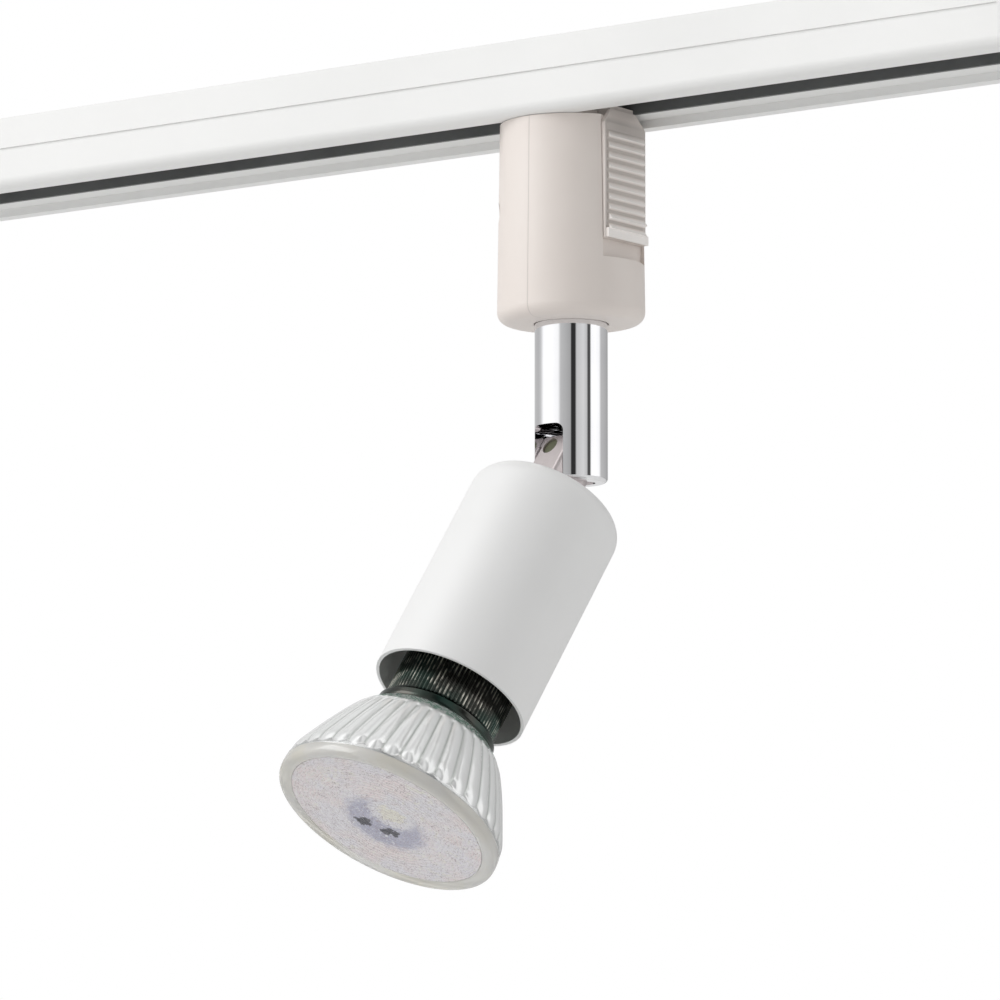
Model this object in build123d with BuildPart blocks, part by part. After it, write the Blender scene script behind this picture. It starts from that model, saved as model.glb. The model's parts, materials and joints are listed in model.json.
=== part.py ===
from build123d import *
from math import asin, cos, radians, sin, sqrt
import os

# Track lighting fixture: a short length of ceiling track, a round plug-in adapter that
# hangs from it, a chrome neck and a small swivelling head with a glass reflector lamp.
# Millimetres. The origin is the middle of the track's flat top, +Z is up and the track
# runs along X. Every piece is modelled where it stands.

# ---------------------------------------------------------------- driving dimensions
# Track rail, open below
rail_length = 330.0
rail_width = 35.0
rail_height = 16.5
rail_wall = 1.4
web_thickness = 1.6
lip_thickness = 1.5
flange_width = 5.5
recess_depth = 1.8
slot_width = 10.0
rail_corner = 2.2
groove_height = 9.0
groove_width = 0.7
groove_depth = 0.4
fixing_spacing = 240.0
fixing_radius = 2.25

# Insulating liners and the copper conductors that they hold
liner_gap = 0.1
liner_foot = 1.0
liner_shelf = 1.0
channel_half = 9.0
pocket_height = 3.2
pocket_depth = 4.0
pocket_middle = 6.4
conductor_thickness = 1.2
conductor_inset = 12.0

# End caps
cap_thickness = 3.0
cap_tongue = 8.0
cap_gap = 0.3
cap_edge = 0.6

# Plug-in adapter
adapter_x = 45.0
adapter_gap = 0.1
adapter_height = 44.0
adapter_top_radius = 15.6
adapter_bottom_radius = 16.25
adapter_wall = 1.8
adapter_top_plate = 2.2
adapter_bottom_plate = 5.0
adapter_edge = 2.6
guide_radius = 11.7
guide_height = 1.5
running_gap = 0.05

# Plug head that turns under the track's lips, and its contacts
post_radius = 4.7
collar_radius = 7.0
collar_height = 2.0
wing_width = 9.0
wing_gap = 0.4
wing_height = 6.7
contact_thickness = 0.8
contact_width = 5.0
contact_strip = 3.2
contact_offset = 2.8
contact_tail = 8.0
lead_radius = 0.75

# Screws that hold the two shells together
shell_screw_drop = 19.4
shell_screw_side = 9.6
shell_screw_radius = 1.2
shell_boss_radius = 2.5
shell_boss_reach = 9.2
shell_head_radius = 2.1
shell_head_seat = 8.5
shell_head_height = 1.6

# Release slider and its spring
slider_width = 15.0
slider_top = 1.7
slider_bottom = 27.1
slider_face = 14.6
slider_gap = 0.25
slider_travel = 3.8
tab_width = 9.4
tab_rise = 2.7
tab_inner = 9.2
tab_outer = 13.2
track_face = 13.2
track_web = 1.3
track_web_margin = 0.2
rib_count = 10
rib_pitch = 2.27
rib_depth = 0.7
rib_margin = 0.8
rib_first = 1.6
last_rib_share = 1.6
foot_lip_height = 2.0
foot_lip_reach = 0.8
tab_root = 0.6
tab_crown = 0.7
leg_width = 4.4
leg_height = 2.0
leg_drop = 16.4
leg_inner = 7.6
spring_radius = 1.9
spring_wire = 0.5
spring_turns = 6
spring_length = 9.0
spring_x = 9.6

# Neck
neck_radius = 8.0
neck_length = 36.4
neck_edge = 1.0
neck_socket_depth = 1.5
neck_socket_gap = 0.25
neck_bore = 3.0
stem_radius = 5.0
stem_length = 11.2
fork_width = 9.0
fork_height = 12.3
fork_back = 4.7
fork_corner = 3.0
fork_top_corner = 1.6
pivot_height = 4.5
swivel_angle = 11.5
washer_radius = 8.0
washer_thickness = 0.6
stop_thickness = 1.0
stop_tab_reach = 11.5
stop_tab_width = 1.2
stop_rib_width = 1.0
stop_rib_height = 2.6
neck_nut_flats = 14.0
neck_nut_height = 4.5

# Pivot screw
pivot_radius = 1.45
pivot_gap = 0.07
pivot_head_radius = 2.6
pivot_head_height = 1.3
pivot_seat = 6.2
pivot_reach = 6.6

# Tongue of the head; its own axis leans out from straight down by the tilt angle
tilt_angle = 33.3
tongue_gap = 0.08
tongue_back = 4.4
tongue_front = 6.2
tongue_corner = 2.6
tongue_front_corner = 0.8
tongue_crown = 2.6
shoulder_radius = 8.0
shoulder_height = 1.6
stud_radius = 3.9
stud_bore = 2.2
stud_length = 8.4
wire_entry_radius = 2.0
wire_entry_x = -1.2
wire_entry_floor = 2.0
wire_bore_radius = 1.3
wire_bore_y = 3.4
sleeve_sink = 0.5
head_lead_radius = 0.5

# Shade
shade_start = 10.8
shade_radius = 17.2
shade_length = 53.4
shade_wall = 0.7
shade_corner = 4.7

# Bracket between the stud and the lampholder
bracket_thickness = 1.0
bracket_width = 12.0
bracket_inner = 8.5
bracket_reach = 13.2
tongue_washer_radius = 7.4
tongue_washer_thickness = 0.8
tongue_nut_flats = 13.0
tongue_nut_height = 4.5

# Ceramic lampholder
holder_back = 33.0
holder_radius = 14.2
holder_length = 15.0
holder_screw_x = 11.0
holder_screw_radius = 1.4
holder_head_radius = 2.5
holder_head_height = 2.2
holder_plate = 3.3
holder_cavity = 4.6
pin_circle = 5.0
pin_shank_radius = 1.5
pin_head_radius = 2.4
pin_head_height = 3.0
pin_play = 0.3
twist_angle = 30.0
holder_contact_thickness = 0.6

# Lamp with a glass reflector
lamp_front = 97.0
lamp_gap = 0.2
lamp_base_radius = 10.8
lamp_skirt_radius = 12.2
lamp_neck_start = 56.0
lamp_neck_radius = 12.6
lamp_neck_wall = 1.5
neck_ring_radius = 13.6
neck_ring_height = 2.6
bowl_start = 73.4
bowl_rim_radius = 25.0
bowl_wall = 1.8
bezel_width = 3.0
bezel_height = 2.4
lens_thickness = 1.4
led_board_radius = 11.0
led_board_drop = 9.0
led_board_thickness = 1.2
led_chip_radius = 5.2
led_chip_height = 0.8
dome_radius = 5.2
dome_height = 3.6
driver_width = 15.0
driver_thickness = 1.2

# ---------------------------------------------------------------- derived places
rail_half = rail_width / 2
rail_bottom = -rail_height
channel_ceiling = -web_thickness
lip_bottom = rail_bottom + recess_depth
channel_floor = lip_bottom + lip_thickness
cavity_half = rail_half - rail_wall
lip_edge = slot_width / 2 + liner_foot
recess_half = rail_half - flange_width

shelf_top = channel_floor + liner_gap + liner_shelf
conductor_back = channel_half + pocket_depth
conductor_face = conductor_back - conductor_thickness

adapter_top = rail_bottom - adapter_gap
adapter_bottom = adapter_top - adapter_height
adapter_ceiling = adapter_top - adapter_top_plate
adapter_floor = adapter_bottom + adapter_bottom_plate
socket_ceiling = adapter_bottom + neck_socket_depth

adapter = Plane(origin=(adapter_x, 0, 0))
adapter_side = Plane(origin=(adapter_x, 0, 0), x_dir=(1, 0, 0), z_dir=(0, -1, 0))
adapter_end = Plane(origin=(adapter_x, 0, 0), x_dir=(0, 1, 0), z_dir=(1, 0, 0))
adapter_axis = Axis((adapter_x, 0, 0), (0, 0, 1))

neck_top = socket_ceiling - liner_gap
neck_end = neck_top - neck_length
pivot_z = neck_end + pivot_height

# The neck faces the way that the head leans: front is that way, side is the near cheek
front = Vector(-sin(radians(swivel_angle)), -cos(radians(swivel_angle)), 0)
side = Vector(cos(radians(swivel_angle)), -sin(radians(swivel_angle)), 0)
neck = Plane(origin=(adapter_x, 0, neck_end), x_dir=side, z_dir=(0, 0, 1))
neck_front = Plane(origin=(adapter_x, 0, neck_end), x_dir=side, z_dir=front)
neck_side = Plane(origin=(adapter_x, 0, pivot_z), x_dir=(0, 0, 1), z_dir=side)

# The head's planes: local x is the pivot's line, y points up and out, z runs down the head
tilt = radians(tilt_angle)
down_head = front * sin(tilt) - Vector(0, 0, 1) * cos(tilt)
out_head = front * cos(tilt) + Vector(0, 0, 1) * sin(tilt)
pivot = Vector(adapter_x, 0, pivot_z)
head = Plane(origin=pivot, x_dir=side, z_dir=down_head)
head_side = Plane(origin=pivot, x_dir=side, z_dir=-out_head)
head_front = Plane(origin=pivot, x_dir=side, z_dir=out_head)
head_axis = Axis(pivot, down_head)
pivot_axis = Axis(pivot, side)

shade_end = shade_start + shade_length
bracket_top = shade_start + shade_wall
stack_washer = bracket_top + bracket_thickness
stack_nut = stack_washer + tongue_washer_thickness
holder_face = holder_back + holder_length
lamp_back = holder_face + lamp_gap
cavity_end = holder_face - holder_plate
cavity_start = cavity_end - holder_cavity
pin_head_end = cavity_end - lamp_gap
tongue_half = fork_width / 2 - tongue_gap

os.makedirs("parts", exist_ok=True)


def keep(builder, name):
    """Label a finished piece and write it to its own file."""
    builder.part.label = name
    export_step(builder.part, "parts/" + name + ".step")


# ---------------------------------------------------------------- track rail
def rail_outline():
    """The track's outer section: square at the ceiling, rounded at the two lower corners."""
    with Locations((0, -rail_height / 2)):
        outline = Rectangle(rail_width, rail_height)
    fillet(outline.vertices().group_by(Axis.Y)[0], rail_corner)


with BuildPart() as rail_channel:
    with BuildSketch(Plane.YZ.offset(-rail_length / 2)):
        rail_outline()
        # the hollow that holds the liners
        with Locations((0, (channel_ceiling + channel_floor) / 2)):
            Rectangle(2 * cavity_half, channel_ceiling - channel_floor, mode=Mode.SUBTRACT)
        # the slot between the lips, and the shallow recess below them
        with Locations((0, (channel_floor + lip_bottom) / 2)):
            Rectangle(2 * lip_edge, lip_thickness + liner_gap, mode=Mode.SUBTRACT)
        with Locations((0, rail_bottom + recess_depth / 2)):
            Rectangle(2 * recess_half, recess_depth, mode=Mode.SUBTRACT)
        # one fine groove along each side
        with Locations((-rail_half, rail_bottom + groove_height), (rail_half, rail_bottom + groove_height)):
            Rectangle(2 * groove_depth, groove_width, mode=Mode.SUBTRACT)
    extrude(amount=rail_length)
    with Locations((-fixing_spacing / 2, 0, 0), (fixing_spacing / 2, 0, 0)):
        Hole(fixing_radius, depth=web_thickness)
keep(rail_channel, "rail_channel")


def rail_liner(way):
    """One insulating liner; way is +1 behind the slot and -1 in front of it."""
    outer = cavity_half - liner_gap
    floor = channel_floor + liner_gap
    foot_outer = lip_edge - liner_gap
    with BuildPart() as liner:
        with BuildSketch(Plane.YZ.offset(-rail_length / 2)):
            with BuildLine():
                Polyline(
                    (way * outer, channel_ceiling - liner_gap),
                    (way * outer, floor),
                    (way * foot_outer, floor),
                    (way * foot_outer, lip_bottom),
                    (way * slot_width / 2, lip_bottom),
                    (way * slot_width / 2, shelf_top),
                    (way * channel_half, shelf_top),
                    (way * channel_half, channel_ceiling - liner_gap),
                    close=True,
                )
            make_face()
            with Locations((way * (channel_half + pocket_depth / 2), -pocket_middle)):
                Rectangle(pocket_depth, pocket_height, mode=Mode.SUBTRACT)
        extrude(amount=rail_length)
    return liner


def rail_conductor(way):
    """The flat copper conductor at the bottom of a liner's groove."""
    with BuildPart() as conductor:
        with BuildSketch(Plane.YZ.offset(conductor_inset - rail_length / 2)):
            with Locations((way * (conductor_back - conductor_thickness / 2), -pocket_middle)):
                Rectangle(conductor_thickness, pocket_height)
        extrude(amount=rail_length - 2 * conductor_inset)
    return conductor


def rail_end_cap(way):
    """A moulded cap with a tongue that pushes in between the liners."""
    end = way * rail_length / 2
    tongue_half = channel_half - cap_gap
    tongue_low = shelf_top + cap_gap
    tongue_high = channel_ceiling - cap_gap
    with BuildPart() as cap:
        with BuildSketch(Plane.YZ.offset(end)):
            rail_outline()
        extrude(amount=way * cap_thickness)
        outer_face = cap.faces().sort_by(Axis.X)[-1 if way > 0 else 0]
        chamfer(outer_face.edges(), cap_edge)
        with BuildSketch(Plane.YZ.offset(end)):
            with Locations((0, (tongue_low + tongue_high) / 2)):
                Rectangle(2 * tongue_half, tongue_high - tongue_low)
        extrude(amount=-way * cap_tongue)
    return cap


for name, way in (("front", -1), ("back", 1)):
    keep(rail_liner(way), "rail_liner_" + name)
    keep(rail_conductor(way), "conductor_" + name)
for name, way in (("left", -1), ("right", 1)):
    keep(rail_end_cap(way), "end_cap_" + name)


# ---------------------------------------------------------------- adapter shells
def shell_screw_places(x):
    """Where the two shell screws cross the plane at x from the adapter's axis."""
    height = adapter_top - shell_screw_drop
    return [(shell_screw_side, height, x), (-shell_screw_side, height, x)]


def adapter_shell(half):
    """One half of the round housing, split through its axis and across the track."""
    inner_top = adapter_top_radius - adapter_wall
    inner_bottom = adapter_bottom_radius - adapter_wall
    track_bottom = adapter_top - slider_bottom - slider_travel - 0.4
    web_bottom = track_bottom - 2.0
    backing_half = sqrt(adapter_top_radius**2 - track_face**2) - track_web_margin
    with BuildPart() as shell:
        with BuildSketch(adapter_side):
            with BuildLine():
                Polyline(
                    (0, adapter_top + guide_height),
                    (guide_radius, adapter_top + guide_height),
                    (guide_radius, adapter_top),
                    (adapter_top_radius, adapter_top),
                    (adapter_bottom_radius, adapter_bottom),
                    (0, adapter_bottom),
                    close=True,
                )
            make_face()
        revolve(axis=adapter_axis)
        fillet(shell.edges().group_by(Axis.Z)[0], adapter_edge)
        # hollow inside
        with BuildSketch(adapter_side):
            with BuildLine():
                Polyline(
                    (0, adapter_ceiling),
                    (inner_top, adapter_ceiling),
                    (inner_bottom, adapter_floor),
                    (0, adapter_floor),
                    close=True,
                )
            make_face()
        revolve(axis=adapter_axis, mode=Mode.SUBTRACT)
        # backing wall of the slider's track, and the spring's ledge on it
        with BuildSketch(adapter.offset(web_bottom)):
            with Locations((track_face - track_web / 2, 0)):
                Rectangle(track_web, 2 * backing_half)
        extrude(amount=adapter_ceiling - web_bottom)
        ledge = adapter_top - leg_drop - leg_height - spring_length
        with BuildSketch(adapter.offset(ledge - 1.5)):
            with Locations(((leg_inner + track_face) / 2, 0)):
                Rectangle(track_face - leg_inner, leg_width + 1.6)
        extrude(amount=1.5)
        # bosses for the shell screws
        with BuildSketch(adapter_end.offset(-shell_boss_reach)):
            with Locations(*[(y, z) for y, z, x in shell_screw_places(0)]):
                Circle(shell_boss_radius)
        extrude(amount=2 * shell_boss_reach)
        # two ribs that the neck's stop tab meets
        with BuildSketch(adapter.offset(adapter_floor)):
            with Locations((0, (stop_tab_reach + inner_bottom) / 2 - 1.0)):
                Rectangle(stop_rib_width, inner_bottom - stop_tab_reach + 2.0)
        extrude(amount=stop_rib_height)
        # the slider's track, open at the top, deeper behind the lock tab
        with BuildSketch(adapter.offset(track_bottom)):
            with Locations((track_face + adapter_wall * 2, 0)):
                Rectangle(adapter_wall * 4, slider_width + 2 * slider_gap)
        extrude(amount=adapter_top + guide_height - track_bottom, mode=Mode.SUBTRACT)
        deep_bottom = adapter_top - slider_top - slider_travel - 0.9
        with BuildSketch(adapter.offset(deep_bottom)):
            with Locations(((tab_inner - slider_gap + track_face) / 2, 0)):
                Rectangle(track_face - tab_inner + slider_gap, tab_width + 2 * slider_gap)
        extrude(amount=adapter_top + guide_height - deep_bottom, mode=Mode.SUBTRACT)
        # the slot in the backing wall that the slider's leg passes through
        leg_top = adapter_top - leg_drop + slider_gap
        leg_low = adapter_top - leg_drop - leg_height - slider_travel - slider_gap
        with BuildSketch(adapter.offset(leg_low)):
            with Locations((track_face - track_web / 2, 0)):
                Rectangle(track_web + 0.2, leg_width + 2 * slider_gap)
        extrude(amount=leg_top - leg_low, mode=Mode.SUBTRACT)
        # holes: the plug head above, the neck's stem and socket below, the screws across
        with BuildSketch(adapter.offset(adapter_ceiling)):
            Circle(post_radius + running_gap)
        extrude(amount=adapter_top_plate + guide_height, mode=Mode.SUBTRACT)
        with BuildSketch(adapter.offset(adapter_bottom)):
            Circle(stem_radius)
        extrude(amount=adapter_bottom_plate, mode=Mode.SUBTRACT)
        with BuildSketch(adapter.offset(adapter_bottom)):
            Circle(neck_radius + neck_socket_gap)
        extrude(amount=neck_socket_depth, mode=Mode.SUBTRACT)
        with BuildSketch(adapter_end.offset(-shell_head_seat)):
            with Locations(*[(y, z) for y, z, x in shell_screw_places(0)]):
                Circle(shell_screw_radius)
        extrude(amount=shell_head_seat + shell_boss_reach - 1.0, mode=Mode.SUBTRACT)
        with BuildSketch(adapter_end.offset(-shell_head_seat)):
            with Locations(*[(y, z) for y, z, x in shell_screw_places(0)]):
                Circle(shell_head_radius + 0.2)
        extrude(amount=-adapter_bottom_radius, mode=Mode.SUBTRACT)
        split(bisect_by=adapter_end, keep=half)
    return shell


keep(adapter_shell(Keep.BOTTOM), "adapter_shell_left")
keep(adapter_shell(Keep.TOP), "adapter_shell_right")

with BuildPart() as adapter_screws:
    with BuildSketch(adapter_end.offset(-shell_head_seat)):
        with Locations(*[(y, z) for y, z, x in shell_screw_places(0)]):
            Circle(shell_screw_radius)
    extrude(amount=shell_head_seat + shell_boss_reach - 2.0)
    with BuildSketch(adapter_end.offset(-shell_head_seat)):
        with Locations(*[(y, z) for y, z, x in shell_screw_places(0)]):
            Circle(shell_head_radius)
    extrude(amount=-shell_head_height)
    with BuildSketch(adapter_end.offset(-shell_head_seat - shell_head_height)):
        with Locations(*[(y, z) for y, z, x in shell_screw_places(0)]):
            Rectangle(0.5, 2.6)
            Rectangle(2.6, 0.5)
    extrude(amount=0.9, mode=Mode.SUBTRACT)
keep(adapter_screws, "adapter_screws")

# ---------------------------------------------------------------- plug head and contacts
wing_low = shelf_top + 0.15
wing_half = channel_half - wing_gap
blade_z = -pocket_middle

with BuildPart() as plug_head:
    with BuildSketch(adapter.offset(adapter_ceiling - collar_height)):
        Circle(collar_radius)
    extrude(amount=collar_height)
    with BuildSketch(adapter.offset(adapter_ceiling)):
        Circle(post_radius)
    extrude(amount=wing_low - adapter_ceiling + wing_height)
    with BuildSketch(adapter.offset(wing_low)):
        Rectangle(wing_width, 2 * wing_half)
    extrude(amount=wing_height)
    fillet(plug_head.edges().group_by(Axis.Z)[-1], 0.6)
    # the channels that the two contact strips lie in
    for way in (-1, 1):
        strip_middle = way * contact_offset
        with BuildSketch(adapter.offset(adapter_ceiling - collar_height)):
            with Locations((0, strip_middle)):
                Rectangle(contact_strip + 2 * running_gap, contact_thickness + 2 * running_gap)
        extrude(amount=blade_z - adapter_ceiling + collar_height, mode=Mode.SUBTRACT)
        blade_start = contact_offset - contact_thickness / 2 - running_gap
        with BuildSketch(adapter.offset(blade_z - contact_thickness / 2 - running_gap)):
            with Locations((0, way * (blade_start + wing_half) / 2)):
                Rectangle(contact_width + 2 * running_gap, wing_half - blade_start)
        extrude(amount=contact_thickness + 2 * running_gap, mode=Mode.SUBTRACT)
keep(plug_head, "plug_head")


def plug_contact(way):
    """A bent brass strip: its blade reaches the conductor and its tail takes a lead."""
    tail_end = adapter_ceiling - collar_height - contact_tail
    blade_inner = contact_offset - contact_thickness / 2
    blade_outer = conductor_face - running_gap
    with BuildPart() as contact:
        with BuildSketch(adapter.offset(tail_end)):
            with Locations((0, way * contact_offset)):
                Rectangle(contact_strip, contact_thickness)
        extrude(amount=blade_z - tail_end)
        with BuildSketch(adapter.offset(blade_z - contact_thickness / 2)):
            with Locations((0, way * (blade_inner + blade_outer) / 2)):
                Rectangle(contact_width, blade_outer - blade_inner)
        extrude(amount=contact_thickness)
    return contact


keep(plug_contact(1), "contact_live")
keep(plug_contact(-1), "contact_neutral")

lead_y = contact_offset - contact_thickness / 2 - lead_radius
stem_top = neck_top + stem_length

with BuildPart() as adapter_leads:
    with BuildSketch(adapter.offset(stem_top + 0.3)):
        with Locations((0, lead_y), (0, -lead_y)):
            Circle(lead_radius)
    extrude(amount=adapter_ceiling - collar_height - contact_tail / 3 - stem_top)
keep(adapter_leads, "adapter_leads")

# ---------------------------------------------------------------- release slider
slider_back = track_face + running_gap
slider_high = adapter_top - slider_top
slider_low = adapter_top - slider_bottom
tab_high = adapter_top + tab_rise
tab_foot = slider_high - tab_root
head_top = lip_bottom - slider_gap

with BuildPart() as release_slider:
    # flat plate that runs on the housing's backing wall
    with BuildSketch(adapter.offset(slider_low)):
        with Locations(((slider_back + slider_face) / 2, 0)):
            Rectangle(slider_face - slider_back, slider_width)
    extrude(amount=slider_high - slider_low)
    # straight ribs: each one slopes out on its way down and is undercut below
    with BuildSketch(adapter_side):
        for index in range(rib_count):
            top = slider_high - rib_first - index * rib_pitch
            reach = rib_depth * (1.0 if index < rib_count - 2 else last_rib_share)
            with BuildLine():
                Polyline(
                    (slider_face - rib_depth, top),
                    (slider_face, top),
                    (slider_face + 0.75 * reach, top - 0.45 * rib_pitch),
                    (slider_face + reach, top - 0.62 * rib_pitch),
                    (slider_face, top - 0.84 * rib_pitch),
                    (slider_face - rib_depth, top - 0.84 * rib_pitch),
                    close=True,
                )
            make_face()
    extrude(amount=slider_width / 2 - rib_margin, both=True)
    # thicker lip at the foot
    with BuildSketch(adapter.offset(slider_low)):
        with Locations(((slider_back + slider_face + foot_lip_reach) / 2, 0)):
            Rectangle(slider_face + foot_lip_reach - slider_back, slider_width)
    extrude(amount=foot_lip_height)
    # head that narrows towards the track
    with BuildSketch(adapter.offset(slider_high)):
        with Locations(((slider_back + slider_face) / 2, 0)):
            Rectangle(slider_face - slider_back, slider_width)
    with BuildSketch(adapter.offset(head_top)):
        with Locations(((slider_back + tab_outer + tab_crown) / 2, 0)):
            Rectangle(tab_outer + tab_crown - slider_back, tab_width)
    loft()
    # lock tab that stands in the track's slot
    with BuildSketch(adapter.offset(tab_foot)):
        with Locations(((tab_inner + slider_back + running_gap) / 2, 0)):
            Rectangle(slider_back + running_gap - tab_inner, tab_width)
    extrude(amount=tab_high - tab_foot)
    # leg that pulls on the spring, through the slot in the backing wall
    with BuildSketch(adapter.offset(adapter_top - leg_drop - leg_height)):
        with Locations(((leg_inner + slider_face) / 2, 0)):
            Rectangle(slider_face - leg_inner, leg_width)
    extrude(amount=leg_height)
keep(release_slider, "release_slider")

spring_low = adapter_top - leg_drop - leg_height - spring_length
wire_start = Plane(
    origin=(adapter_x + spring_x + spring_radius, 0, spring_low + spring_wire / 2),
    x_dir=(1, 0, 0),
    z_dir=(0, -1, 0),
)
with BuildPart() as lock_spring:
    coil_height = spring_length - spring_wire
    with BuildLine():
        Helix(
            pitch=coil_height / spring_turns,
            height=coil_height,
            radius=spring_radius,
            center=(adapter_x + spring_x, 0, spring_low + spring_wire / 2),
        )
    with BuildSketch(wire_start):
        Circle(spring_wire / 2)
    sweep(is_frenet=True)
keep(lock_spring, "lock_spring")

# ---------------------------------------------------------------- neck
# Blind slot at the foot of the neck, open to the front and below, with round inner corners
with BuildPart() as fork_form:
    with BuildSketch(neck.offset(-1)):
        with Locations((0, (fork_back - neck_radius - 1) / 2)):
            plan = Rectangle(fork_width, fork_back + neck_radius + 1)
        fillet(plan.vertices().group_by(Axis.Y)[-1], fork_corner)
    extrude(amount=fork_height + 1)
    with BuildSketch(neck_front.offset(-neck_radius)):
        with Locations((0, (fork_height - 1) / 2)):
            arch = Rectangle(fork_width, fork_height + 1)
        fillet(arch.vertices().group_by(Axis.Y)[-1], fork_top_corner)
    extrude(amount=3 * neck_radius, mode=Mode.INTERSECT)

with BuildPart() as neck_tube:
    with BuildSketch(neck):
        Circle(neck_radius)
    extrude(amount=neck_length)
    fillet(neck_tube.edges().filter_by(GeomType.CIRCLE), neck_edge)
    with BuildSketch(neck.offset(neck_length - neck_edge)):
        Circle(stem_radius - running_gap)
    extrude(amount=stem_length + neck_edge)
    chamfer(neck_tube.edges().group_by(Axis.Z)[-1], 0.5)
    with BuildSketch(neck):
        Circle(neck_bore)
    extrude(amount=neck_length + stem_length, mode=Mode.SUBTRACT)
    add(fork_form.part, mode=Mode.SUBTRACT)
    # the pivot screw's hole: right through the far cheek, blind in the near one
    with BuildSketch(neck_side.offset(-neck_radius)):
        Circle(pivot_radius)
    extrude(amount=neck_radius + pivot_reach + 0.2, mode=Mode.SUBTRACT)
    with BuildSketch(neck_side.offset(-pivot_seat)):
        Circle(pivot_head_radius + 0.15)
    extrude(amount=-neck_radius, mode=Mode.SUBTRACT)
keep(neck_tube, "neck_tube")

with BuildPart() as pivot_screw:
    with BuildSketch(neck_side.offset(-pivot_seat)):
        Circle(pivot_radius)
    extrude(amount=pivot_seat + pivot_reach)
    with BuildSketch(neck_side.offset(-pivot_seat)):
        Circle(pivot_head_radius)
    extrude(amount=-pivot_head_height)
    with BuildSketch(neck_side.offset(-pivot_seat - pivot_head_height)):
        RegularPolygon(1.2, 6)
    extrude(amount=0.8, mode=Mode.SUBTRACT)
keep(pivot_screw, "pivot_screw")

# Stack on the neck's stem inside the adapter: plain washer, stop washer and nut
washer_low = adapter_floor + running_gap
stop_low = washer_low + washer_thickness
nut_low = stop_low + stop_thickness
turned_adapter = Plane(origin=(adapter_x, 0, 0), x_dir=side, z_dir=(0, 0, 1))

with BuildPart() as swivel_washer:
    with BuildSketch(turned_adapter.offset(washer_low)):
        Circle(washer_radius)
        Circle(stem_radius, mode=Mode.SUBTRACT)
    extrude(amount=washer_thickness)
keep(swivel_washer, "swivel_washer")

with BuildPart() as stop_washer:
    with BuildSketch(turned_adapter.offset(stop_low)):
        Circle(washer_radius)
        with Locations((0, -stop_tab_reach / 2)):
            Rectangle(stop_tab_width, stop_tab_reach)
        Circle(stem_radius, mode=Mode.SUBTRACT)
    extrude(amount=stop_thickness)
keep(stop_washer, "stop_washer")

with BuildPart() as neck_nut:
    with BuildSketch(turned_adapter.offset(nut_low)):
        RegularPolygon(neck_nut_flats / 2, 6, major_radius=False)
        Circle(stem_radius, mode=Mode.SUBTRACT)
    extrude(amount=neck_nut_height)
keep(neck_nut, "neck_nut")

with BuildPart() as neck_leads:
    with BuildSketch(neck.offset(fork_height + 0.6)):
        with Locations((lead_y, 0), (-lead_y, 0)):
            Circle(lead_radius)
    extrude(amount=neck_length + stem_length - fork_height - 0.6)
keep(neck_leads, "neck_leads")

# ---------------------------------------------------------------- tongue of the head
with BuildPart() as tongue:
    # rounded end that turns on the pivot screw
    with BuildSketch(head):
        with Locations((0, tongue_back / 2)):
            crown = Rectangle(2 * tongue_half, tongue_back)
        fillet(crown.vertices().group_by(Axis.Y)[-1], tongue_crown)
    revolve(axis=pivot_axis)
    # arm, rounded at the back, with a flat front face
    with BuildSketch(head):
        with Locations((0, (tongue_front - tongue_back) / 2)):
            arm = Rectangle(2 * tongue_half, tongue_front + tongue_back)
        fillet(arm.vertices().group_by(Axis.Y)[0], tongue_crown)
        fillet(vertices().group_by(Axis.Y)[-1], tongue_front_corner)
    extrude(amount=shade_start - shoulder_height)
    # front boss above the pivot, where the leads go in
    with BuildSketch(head_side.offset(-tongue_front)):
        with Locations((0, -tongue_corner / 2)):
            boss = Rectangle(2 * tongue_half, tongue_corner)
        fillet(boss.vertices().group_by(Axis.Y)[0], tongue_front_corner)
    extrude(amount=tongue_front)
    # round shoulder on the shade, and the threaded stud through it
    with BuildSketch(head.offset(shade_start - shoulder_height)):
        Circle(shoulder_radius)
    extrude(amount=shoulder_height)
    with BuildSketch(head.offset(shade_start)):
        Circle(stud_radius)
    extrude(amount=stud_length)
    # pivot hole, wire entry, wire way and the stud's bore
    with BuildSketch(neck_side.offset(-neck_radius)):
        Circle(pivot_radius + pivot_gap)
    extrude(amount=2 * neck_radius, mode=Mode.SUBTRACT)
    with BuildSketch(head_front.offset(wire_entry_floor)):
        with Locations((wire_entry_x, 0)):
            Circle(wire_entry_radius)
    extrude(amount=tongue_front, mode=Mode.SUBTRACT)
    with BuildSketch(head):
        with Locations((wire_entry_x, wire_bore_y)):
            Circle(wire_bore_radius)
    extrude(amount=shade_start, mode=Mode.SUBTRACT)
    with BuildSketch(head.offset(shade_start - 4.0)):
        with Locations((wire_entry_x / 2, wire_bore_y / 2 + 0.6)):
            Rectangle(2 * wire_bore_radius + 1.2, wire_bore_y + 1.2)
    extrude(amount=4.0, mode=Mode.SUBTRACT)
    with BuildSketch(head.offset(shade_start - 2.0)):
        Circle(stud_bore)
    extrude(amount=stud_length + 2.0, mode=Mode.SUBTRACT)
keep(tongue, "tongue")

with BuildPart() as wire_sleeve:
    with BuildSketch(head_front.offset(wire_bore_y + wire_bore_radius)):
        with Locations((wire_entry_x, 0)):
            Circle(wire_entry_radius - running_gap)
    extrude(amount=tongue_front - sleeve_sink - wire_bore_y - wire_bore_radius)
keep(wire_sleeve, "wire_sleeve")


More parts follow.
